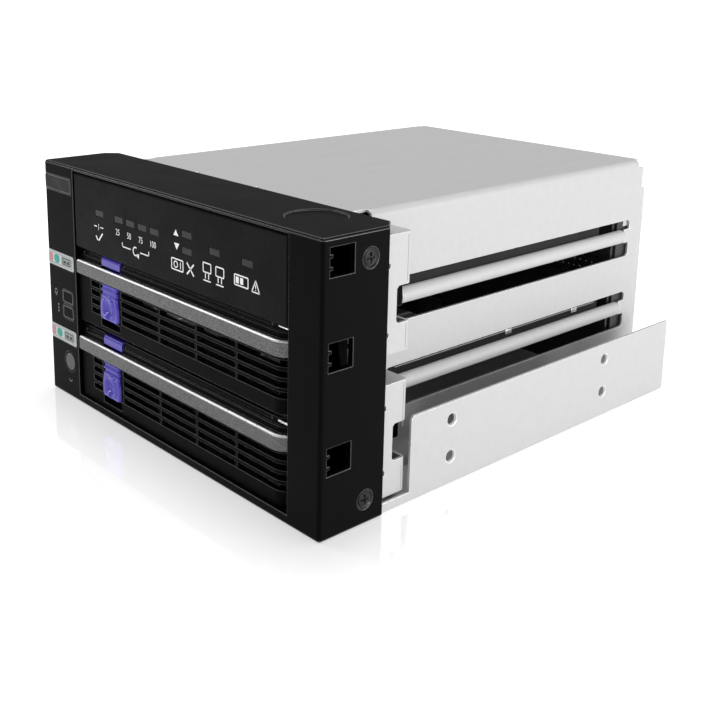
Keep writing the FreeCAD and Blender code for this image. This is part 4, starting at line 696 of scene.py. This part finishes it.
def close_tree(tree, end, shape, mat):
    real = geo(tree, "RealizeInstances", [("Geometry", shape)])
    tree.links.new(geo(tree, "SetMaterial", [("Geometry", real)], Material=mat), end["Geometry"])


def grow(name, tree, mat, base=None, **values):
    """Runs a tree on a base mesh and keeps the result as a plain mesh at the origin."""
    holder = link(bpy.data.objects.new(name, base or bpy.data.meshes.new(name)))
    modifier = holder.modifiers.new("grow", "NODES")
    modifier.node_group = tree
    for item in tree.interface.items_tree:
        if item.in_out == "INPUT" and item.name in values:
            modifier[item.identifier] = values[item.name]
    evaluated(holder)
    holder.data.materials.clear()
    holder.data.materials.append(mat)
    print(name, len(holder.data.polygons), "faces")
    return holder


# %% [markdown]
# ## Latch springs
# Behind each latch stands a flat spring of round wire, folded like a hairpin fence. Its tree lays
# points on a line, pushes them left and right in turn, rounds the corners and runs a ring along the
# path.

# %% Latch springs
WIRE = 0.22 * MM


def serpentine_tree(mat):
    """A wire that runs up in level folds. Height, Width and Wire are metres."""
    tree, sizes, end = node_tree("serpentine", {"Height": 0.009, "Width": 0.004, "Wire": 0.0002,
                                                "Folds": 7})
    count = calc(tree, "MULTIPLY_ADD", sizes["Folds"], 2.0, 2.0)
    run = geo(tree, "MeshLine", [("Count", count)], mode="OFFSET", Offset=(0, 0, 0))
    index = geo(tree, "InputIndex")
    fold = calc(tree, "FLOOR", calc(tree, "DIVIDE", index, 2.0))
    up = calc(tree, "MULTIPLY", calc(tree, "DIVIDE", fold, sizes["Folds"]), sizes["Height"])
    phase = calc(tree, "MODULO", calc(tree, "ADD", index, 1.0), 4.0)
    side = calc(tree, "SUBTRACT", calc(tree, "GREATER_THAN", phase, 1.5), 0.5)
    place = vector(tree, X=calc(tree, "MULTIPLY", side, sizes["Width"]), Z=up)
    put = geo(tree, "SetPosition", [("Geometry", run), ("Position", place)])
    path = geo(tree, "MeshToCurve", [("Mesh", put)])
    bends = geo(tree, "FilletCurve", [("Curve", path)], mode="POLY", Count=4, Radius=0.0005,
                Limit_Radius=True)
    ring = geo(tree, "CurvePrimitiveCircle", [("Radius", sizes["Wire"])], Resolution=10)
    wire = geo(tree, "CurveToMesh", [("Curve", bends), ("Profile Curve", ring)], Fill_Caps=True)
    close_tree(tree, end, geo(tree, "SetShadeSmooth", [("Geometry", wire)]), mat)
    return tree


mat = finishes["spring_steel"].mat
spring_tree = serpentine_tree(mat)
for level in ("lower", "upper"):
    node = "latch_spring_" + level
    low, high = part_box(node)
    height = high.z - low.z - 2.4 * WIRE
    spring = grow("spring_wire_" + level, spring_tree, mat, Height=height,
                  Width=high.x - low.x - 2 * WIRE, Wire=WIRE, Folds=7)
    middle = Vector(((low.x + high.x) / 2, (low.y + high.y) / 2, low.z + 1.2 * WIRE))
    spring.data.transform(Matrix.Translation(middle))
    dress(spring, "spring_steel", "door_" + level, node)
    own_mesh(spring)

# %% [markdown]
# ## Latches
# The thumb piece is sculpted as a height field. A grid of points is pushed back where the finger
# dish and the grip ridges lie, and rounded at its rim.

# %% Sculpt the thumb piece
THUMB_HEIGHT = 12.4
THUMB_HALF = 5.5
THUMB_NECK = 4.75
NECK = (4.5, 8.2)                   # the heights between which the piece narrows
FOOT_ROUND = 1.5
WAVE = 0.16                         # how far the grip ridges swell at the sides
GRIP = (7.4, 8.4)                   # the heights over which the ridges set in
GRIP_DEEP = 0.55
GRIP_PITCH = 2.0
RIM_ROUND = 0.65
BOWL = (0.1, 4.4, 3.3, 1.3)         # place across, place up, radius, depth
LIP = 0.34                          # the bowl's lip stands this far forward
LIP_WIDE = 1.2


def smoothstep(low, high, value):
    t = min(max((value - low) / (high - low), 0.0), 1.0)
    return t * t * (3 - 2 * t)


def thumb_half(up):
    """Half the thumb piece's width at a height above its foot."""
    half = THUMB_HALF + (THUMB_NECK - THUMB_HALF) * smoothstep(*NECK, up)
    half += WAVE * math.cos(2 * math.pi * (up - 8.0) / 2.2) * smoothstep(7.0, 8.0, up)
    if up < FOOT_ROUND:
        half -= FOOT_ROUND - math.sqrt(max(FOOT_ROUND ** 2 - (FOOT_ROUND - up) ** 2, 0.0))
    return half


def thumb_depth(across, up):
    """How far the surface lies behind the foremost plane, in millimetres."""
    depth = LIP
    for edge in (thumb_half(up) - abs(across), up + 0.05, THUMB_HEIGHT - up + 0.3):
        if edge < RIM_ROUND:
            depth = max(depth, LIP + RIM_ROUND - math.sqrt(max(
                RIM_ROUND ** 2 - (RIM_ROUND - max(edge, 0)) ** 2, 0.0)))
    ridge = 0.5 - 0.5 * math.cos(2 * math.pi * (up - GRIP[1]) / GRIP_PITCH)
    depth += smoothstep(*GRIP, up) * GRIP_DEEP * ridge
    x, z, radius, deep = BOWL
    reach = math.hypot(across - x, (up - z) * 0.95)
    if reach < radius:
        depth = max(depth, deep * (1 - (reach / radius) ** 2))
    past_rim = reach - radius - 0.25
    if abs(past_rim) < LIP_WIDE / 2:
        depth -= LIP * math.cos(math.pi * past_rim / LIP_WIDE) ** 2
    return max(depth, 0.0)


print("thumb piece", round(2 * thumb_half(0.5 * THUMB_HEIGHT), 2), "mm wide halfway up")

# %% [markdown]
# ## One mesh for each latch
# The height field becomes a grid of four-sided faces with walls down to a flat back. The CAD mesh
# is cut twice, once for the head and once for the stem, and each cut is closed again.

# %% Latches
def add_thumb(bm, low, high, back):
    columns, rows = 44, 72
    centre = (low.x + high.x) / 2
    grid = []
    for j in range(rows + 1):
        up = THUMB_HEIGHT * j / rows
        half = thumb_half(up)
        line = []
        for i in range(columns + 1):
            across = half * (2 * i / columns - 1)
            line.append(bm.verts.new((centre + across * MM, low.y + thumb_depth(across, up) * MM,
                                      low.z + up * MM)))
        grid.append(line)
    for j in range(rows):
        for i in range(columns):
            bm.faces.new((grid[j][i], grid[j][i + 1], grid[j + 1][i + 1], grid[j + 1][i]))
    ring = grid[0] + [grid[j][-1] for j in range(1, rows + 1)]
    ring += list(reversed(grid[-1][:-1])) + [grid[j][0] for j in range(rows - 1, 0, -1)]
    behind = [bm.verts.new((v.co.x, back, v.co.z)) for v in ring]
    count = len(ring)
    for i in range(count):
        bm.faces.new((ring[(i + 1) % count], ring[i], behind[i], behind[(i + 1) % count]))
    bm.faces.new(behind)


def cad_part(bm, node, cuts):
    """Adds a node's CAD mesh, cut by planes and closed. Each cut keeps its normal's side."""
    part = bmesh.new()
    part.from_mesh(frame["nodes"][node].data)
    bmesh.ops.remove_doubles(part, verts=part.verts, dist=MERGE)
    for place, normal in cuts:
        geometry = part.verts[:] + part.edges[:] + part.faces[:]
        bmesh.ops.bisect_plane(part, geom=geometry, plane_co=place, plane_no=normal,
                               clear_inner=True)
        rim = [e for e in part.edges if e.is_boundary]
        bmesh.ops.holes_fill(part, edges=rim, sides=0)
    # Material 1 on the bevels is the lighter violet edge finish, a painted highlight.
    bevel_sharp(part, 0.18 * MM, 1)
    mesh = as_mesh("part", part)
    bm.from_mesh(mesh)
    bpy.data.meshes.remove(mesh)


for level in ("lower", "upper"):
    node = "latch_" + level
    low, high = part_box(node)
    back = high.y - 1.5 * MM
    level_z = low.z + (THUMB_HEIGHT + 0.1) * MM
    bm = bmesh.new()
    add_thumb(bm, low, high, back)
    cad_part(bm, node, [((0, 0, level_z), (0, 0, 1))])
    cad_part(bm, node, [((0, 0, level_z), (0, 0, -1)), ((0, back - 0.02 * MM, 0), (0, 1, 0))])
    latch = shade(mesh_object("latch_thumb_" + level, outward(bm)), 34)
    dress(latch, "violet_plastic", node, node)
    print(latch.name, len(latch.data.polygons), "faces")

# %% [markdown]
# ## Screws
# One screw head is turned as a profile: a flat rim, a groove and a low dome. Its cross recess is
# pressed in by moving the points that fall inside the cross.

# %% Screw head
HEAD_THICK = 0.78
DOME_RINGS = 18
DOME_EDGE = 0.125                   # the cross is pressed into what lies before this


def turned(profile, steps=64):
    """Turns (radius, depth) points round the X axis, with +X outwards, and closes both ends."""
    bm = bmesh.new()
    rings = []
    for radius, depth in profile:
        rings.append([bm.verts.new((depth * MM, radius * MM * math.cos(2 * math.pi * i / steps),
                                    radius * MM * math.sin(2 * math.pi * i / steps)))
                      for i in range(steps)])
    for first, second in zip(rings, rings[1:]):
        for i in range(steps):
            bm.faces.new((first[i], first[(i + 1) % steps], second[(i + 1) % steps], second[i]))
    bm.faces.new(list(reversed(rings[0])))
    bm.faces.new(rings[-1])
    return bm


def screw_head(radius, cross_half, cross_reach, cross_deep, length=5.6):
    """A pan head whose face is made of fine rings, so that the cross can be pressed into it."""
    profile = [(radius * 0.5, -length), (radius * 0.5, -HEAD_THICK)]
    for share, depth in ((1, -HEAD_THICK), (1, -0.1), (0.985, -0.06), (0.955, -0.08), (0.85, -0.46),
                         (0.80, -0.5), (0.74, -0.44), (0.71, -0.2), (0.68, -0.13)):
        profile.append((radius * share, depth))
    for i in range(DOME_RINGS):
        share = 1 - i / DOME_RINGS
        profile.append((radius * 0.66 * share + 0.02, -0.06 - 0.06 * share ** 2))
    bm = turned(profile)
    for v in bm.verts:
        y, z = abs(v.co.y / MM), abs(v.co.z / MM)
        if v.co.x / MM < -DOME_EDGE or math.hypot(y, z) > cross_reach + 0.15:
            continue
        if (y < cross_half and z < cross_reach) or (z < cross_half and y < cross_reach):
            edge = max(y, z) / cross_reach
            v.co.x -= cross_deep * (1.0 - 0.5 * edge ** 2) * MM
    return outward(bm)


head_mesh = as_mesh("screw_head", screw_head(2.95, 0.32, 1.45, 0.45))
print("screw head", len(head_mesh.polygons), "faces")

# %% [markdown]
# ## A tree that sets the screws
# Two copies stand a Rise apart on the right side of the bezel. The same pair, turned by half a turn,
# stands on the left, so its heads face outwards too.

# %% Set the screws
def screw_tree(mat):
    tree, sizes, end = node_tree("screw_set", {"Rise": 0.07, "Reach": 0.07, "Lift": 0.008,
                                               "Depth": 0.0})
    points = geo(tree, "MeshLine", [("Offset", vector(tree, Z=sizes["Rise"]))], mode="OFFSET", Count=2)
    pair = geo(tree, "InstanceOnPoints", [("Points", points), ("Instance", sizes["Geometry"])])
    far = calc(tree, "MULTIPLY", sizes["Reach"], -1.0)
    sides = []
    for across, turn in ((sizes["Reach"], 0), (far, math.pi)):
        sides.append((0, moved(tree, pair, (0, 0, turn), X=across, Y=sizes["Depth"], Z=sizes["Lift"])))
    close_tree(tree, end, geo(tree, "JoinGeometry", sides), mat)
    return tree


HEAD_RADIUS = 2.65                  # of the CAD screws in their box
low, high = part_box("bezel_screws")
mat = finishes["dark_screw"].mat
screws = grow("bezel_screw_set", screw_tree(mat), mat, base=head_mesh,
              Rise=high.z - low.z - 2 * HEAD_RADIUS * MM, Reach=high.x,
              Lift=low.z + HEAD_RADIUS * MM, Depth=(low.y + high.y) / 2)
dress(shade(screws), "dark_screw", "cage", "bezel_screws")

# %% [markdown]
# ## Hinge collars
# A bright rounded bar caps the top of each door where its hinge pin runs through. It is turned from
# a half profile, so both ends are domed.

# %% Hinge collars
for level in ("lower", "upper"):
    low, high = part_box("door_" + level)
    collar = turned([(0.02, 0.0), (0.25, 0.06), (0.4, 0.25), (0.45, 0.6), (0.45, 3.6), (0.4, 3.95),
                     (0.25, 4.15), (0.02, 4.2)], 24)
    for v in collar.verts:
        v.co += Vector((high.x - 5.0 * MM, low.y + 1.3 * MM, high.z - 0.62 * MM))
    bar = mesh_object("hinge_collar_" + level, collar)
    dress(shade(bar), "bright_steel", "door_" + level)
print("collars", len(bar.data.polygons), "faces each")

# %% [markdown]
# ## Fan rotor
# The CAD blades are straight paddles. Here one blade is drawn as a curved, twisted aerofoil: its
# chord is steeper at the root than at the tip, its section is cambered and thins to both edges.

# %% One blade
CAMBER = 0.9
SWEEP = math.radians(16)
BLADE_MIDDLE = 3.75                 # depth of the chord's middle behind the rotor's front


def blade_mesh(root=11.2, tip=26.9, spans=18, chords=14):
    bm = bmesh.new()
    sheets = []
    for side in (-1, 1):
        sheet = []
        for i in range(spans + 1):
            t = i / spans
            radius = root + (tip - root) * t
            width, rise = 6.6 + 6.2 * t, 6.4 - 0.6 * t
            tilt = math.atan2(rise, width)
            row = []
            for j in range(chords + 1):
                s = j / chords
                thick = (1.15 - 0.45 * t) * max(math.sqrt(max(1 - (2 * s - 1) ** 2, 0)), 0.22) / 2
                lift = CAMBER * math.sin(math.pi * s) + side * thick
                along = width * (s - 0.5) - lift * math.sin(tilt)
                axial = BLADE_MIDDLE + rise * (s - 0.5) + lift * math.cos(tilt) - 0.3
                turn = SWEEP * t * t + along / radius
                row.append(bm.verts.new((radius * math.cos(turn) * MM, axial * MM,
                                         radius * math.sin(turn) * MM)))
            sheet.append(row)
        sheets.append(sheet)
    for sheet, flip in zip(sheets, (False, True)):
        for i in range(spans):
            for j in range(chords):
                quad = (sheet[i][j], sheet[i + 1][j], sheet[i + 1][j + 1], sheet[i][j + 1])
                bm.faces.new(quad if flip else quad[::-1])
    low, high = sheets
    for i in range(spans):
        bm.faces.new((low[i][0], low[i + 1][0], high[i + 1][0], high[i][0]))
        bm.faces.new((low[i + 1][-1], low[i][-1], high[i][-1], high[i + 1][-1]))
    for j in range(chords):
        bm.faces.new((low[0][j + 1], low[0][j], high[0][j], high[0][j + 1]))
        bm.faces.new((low[-1][j], low[-1][j + 1], high[-1][j + 1], high[-1][j]))
    return as_mesh("fan_blade", outward(bm))


blade = blade_mesh()
print("blade", len(blade.polygons), "faces")

# %% [markdown]
# ## Ring of blades and hub
# The tree turns Count copies of the blade round the Y axis, by the index of each copy, and moves
# the ring to the rotor's centre. The hub is turned from a profile, bore and all.

# %% Rotor
BLADES = 7
ROTOR_X = -22 * MM
low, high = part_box("fan_rotor")
ROTOR_Z = (low.z + high.z) / 2
ROTOR_FRONT = low.y


def ring_tree(mat):
    tree, sizes, end = node_tree("blade_ring", {"Count": 7, "Across": 0.0, "Along": 0.0, "Up": 0.0})
    points = geo(tree, "MeshLine", [("Count", sizes["Count"])], mode="OFFSET", Offset=(0, 0, 0))
    step = calc(tree, "DIVIDE", 2 * math.pi, sizes["Count"])
    turn = vector(tree, Y=calc(tree, "MULTIPLY", geo(tree, "InputIndex"), step))
    ring = geo(tree, "InstanceOnPoints", [
        ("Points", points), ("Instance", sizes["Geometry"]), ("Rotation", turn)])
    out = moved(tree, ring, X=sizes["Across"], Y=sizes["Along"], Z=sizes["Up"])
    close_tree(tree, end, out, mat)
    return tree


mat = finishes["fan_plastic"].mat
blades = grow("fan_blades", ring_tree(mat), mat, base=blade, Count=BLADES, Across=ROTOR_X,
              Along=ROTOR_FRONT, Up=ROTOR_Z)
dress(shade(blades, 50), "fan_plastic", "fan_rotor", "fan_rotor")
hub = turned([(1.56, 2.4), (1.56, 7.75), (10.9, 7.75), (11.7, 7.6), (11.95, 7.2), (11.95, 1.0),
              (11.7, 0.35), (11.1, 0.02), (9.4, 0.02), (9.2, 0.3), (4.2, 0.3), (4.0, 0.02),
              (2.6, 0.02), (2.3, 0.3), (0.02, 0.3), (0.02, 2.4)], 72)
for v in hub.verts:
    v.co = (v.co.y + ROTOR_X, v.co.x + ROTOR_FRONT, v.co.z + ROTOR_Z)
dress(shade(mesh_object("fan_hub", outward(hub)), 35), "fan_plastic", "fan_rotor", "fan_rotor")
print("rotor centre", round(1000 * ROTOR_X, 1), round(1000 * ROTOR_Z, 1))

# %% [markdown]
# ## Rows of small parts
# Rows of pins, chips and contacts are the same small mesh set out on a grid, so one tree serves all
# of them: it puts the incoming mesh on a line of points, then repeats that line upwards.

# %% Rows of small parts
def rows_tree(mat):
    """Across by Rows copies, Step and Rise apart, from a first place. Sizes are metres."""
    tree, sizes, end = node_tree("rows", {
        "Across": 4, "Rows": 1, "Step": 0.002, "Deep Step": 0.0, "Rise": 0.0, "X": 0.0, "Y": 0.0,
        "Z": 0.0})
    step = vector(tree, X=sizes["Step"], Y=sizes["Deep Step"])
    rise = vector(tree, Z=sizes["Rise"])
    shape = sizes["Geometry"]
    for count, offset in (("Across", step), ("Rows", rise)):
        points = geo(tree, "MeshLine", [("Count", sizes[count]), ("Offset", offset)], mode="OFFSET")
        shape = geo(tree, "InstanceOnPoints", [("Points", points), ("Instance", shape)])
    out = moved(tree, shape, X=sizes["X"], Y=sizes["Y"], Z=sizes["Z"])
    close_tree(tree, end, out, mat)
    return tree


def small_block(size, bevel=0.08):
    """A small bevelled block with one corner at the origin. Sizes are millimetres."""
    bm = bmesh.new()
    bmesh.ops.create_cube(bm, size=1.0)
    for v in bm.verts:
        v.co = tuple((v.co[i] + 0.5) * size[i] * MM for i in range(3))
    bmesh.ops.bevel(bm, geom=bm.edges[:], offset=bevel * MM, segments=2, profile=0.5,
                    affect="EDGES")
    return bm


def set_out(name, shape, slot_name, x, y, z, across=1, step=0.0, rows=1, rise=0.0, deep=0.0,
            look=None):
    """Sets out copies of a shape. Places and steps are millimetres in the front frame."""
    made = finishes[look or slot_name].mat
    piece = grow(name, rows_tree(made), made, base=as_mesh(name, shape), Across=across, Rows=rows,
                 Step=step * MM, Rise=rise * MM, X=x * MM, Y=FRONT + y * MM, Z=z * MM,
                 **{"Deep Step": deep * MM})
    return dress(shade(piece), slot_name, "cage")


# %% [markdown]
# ## Control board
# The board under the lid carries two large chips, a row of small ones, resistors, capacitors and a
# header for the cable to the lamps. A can is turned with the groove that its crimp leaves.

# %% Control board
BOARD_TOP = 65.4
HEADER_PITCH = 2.54


def small_can(radius, height):
    """An upright capacitor can with a rounded top and a groove near its foot."""
    bm = turned([(radius, 0.0), (radius, 0.9), (radius - 0.18, 1.05), (radius - 0.18, 1.25),
                 (radius, 1.4), (radius, height - 0.35), (radius - 0.1, height - 0.1),
                 (radius - 0.35, height), (0.02, height)], 32)
    for v in bm.verts:
        v.co = (v.co.y, -v.co.z, v.co.x)
    return outward(bm)


set_out("board_chips", small_block((9, 9, 1.5), 0.12), "socket_plastic", -30, 64, BOARD_TOP,
        across=2, step=16)
set_out("board_chips_small", small_block((4.2, 5.2, 1.3), 0.1), "socket_plastic", -36, 88,
        BOARD_TOP, across=5, step=8.0)
set_out("board_resistors", small_block((1.6, 0.8, 0.5), 0.06), "socket_white", -37, 82, BOARD_TOP,
        across=14, step=3.0)
set_out("board_capacitors", small_can(1.9, 5.4), "bright_steel", -34, 104, BOARD_TOP, across=6,
        step=6.0)
set_out("board_header", small_block((2.4, 2.4, 2.4), 0.12), "socket_plastic", 38.6, 92, BOARD_TOP,
        deep=HEADER_PITCH, across=16)
set_out("board_header_pins", small_block((0.64, 0.64, 5.4), 0.1), "bright_steel", 39.4, 92.9,
        BOARD_TOP + 0.4, deep=HEADER_PITCH, across=16)

# %% [markdown]
# ## Contacts
# The drives plug into brass contacts at 1.27 mm, and the backplane is fed through two rows of pins.

# %% Contacts
for level, (low, high) in (("lower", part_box("drive_socket_lower")),
                           ("upper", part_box("drive_socket_upper"))):
    set_out("drive_contacts_" + level, small_block((0.7, 3.6, 0.16), 0.03), "brass_post", -24.6,
            153.1, low.z / MM + 4.4, across=25, step=1.27)
set_out("backplane_pins", small_block((0.64, 2.4, 0.64), 0.08), "bright_steel", 20.0, 157.7, 43.6,
        across=12, step=HEADER_PITCH, rows=2, rise=HEADER_PITCH)
set_out("backplane_housing", small_block((31.2, 1.3, 6.0), 0.15), "socket_plastic", 19.4, 158.8,
        42.2)
set_out("backplane_parts", small_block((1.6, 0.55, 0.8), 0.06), "socket_white", -44, 159.5, 47.5,
        across=16, step=3.6, rows=2, rise=4.2)

# %% [markdown]
# ## Outer fittings
# The fan is held by four more of the turned screws. Thin dark slabs paint the shade along the fold
# lines of the box brackets. Steel clips and foam strips fill the long slots where the guides sit, and
# a thin light slab paints a highlight along each guide.

# %% Outer fittings
FAN_HEAD = 2.43
BRACKET_PITCH = 43.26
low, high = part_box("fan_screws")
fan_head = screw_head(FAN_HEAD, 0.3, 1.35, 0.42, 1000 * (high.y - low.y))
for v in fan_head.verts:
    v.co = (-v.co.y, v.co.x, v.co.z)
span = 1000 * (high.x - low.x) - 2 * FAN_HEAD
fan_set = set_out("fan_screw_set", outward(fan_head), "dark_screw", 1000 * low.x + FAN_HEAD,
                  1000 * (high.y - FRONT), 1000 * low.z + FAN_HEAD, across=2, step=span, rows=2,
                  rise=span)
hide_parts("fan_screws")
# Painted shade: thin dark slabs along the brackets' folds stand in for the shade on each bend.
for side, x in (("right", 71.38), ("left", -71.42)):
    for name, z, height in (("upper", 67.4, 13.3), ("foot", 47.8, 7.4)):
        set_out("bracket_fold_shade_%s_%s" % (name, side), small_block((0.04, 0.22, height), 0.01),
                "chassis_steel", x, 33.4, z - BRACKET_PITCH, rows=2, rise=BRACKET_PITCH,
                look="shade_and_highlight_line")
for side, x, inner in (("right", 55.5, 54.1), ("left", -56.1, -55.4)):
    set_out("guide_clips_" + side, small_block((0.6, 3.2, 1.7), 0.2), "chassis_steel", x, 98.4,
            33.1, across=2, deep=37.0, look="bright_steel")
    # Painted highlight: a thin light slab along each black drive guide stands in for the light on its edge.
    set_out("guide_highlight_" + side, small_block((0.09, 104, 0.3), 0.02), "guide_plastic",
            x + (0.02 if x > 0 else 0.49), 46, 34.1, look="shade_and_highlight_line")
    set_out("slot_foam_" + side, small_block((1.3, 7.2, 15.4), 0.3), "socket_plastic", inner, 161.8,
            20.6, rows=2, rise=27.65)

# %% [markdown]
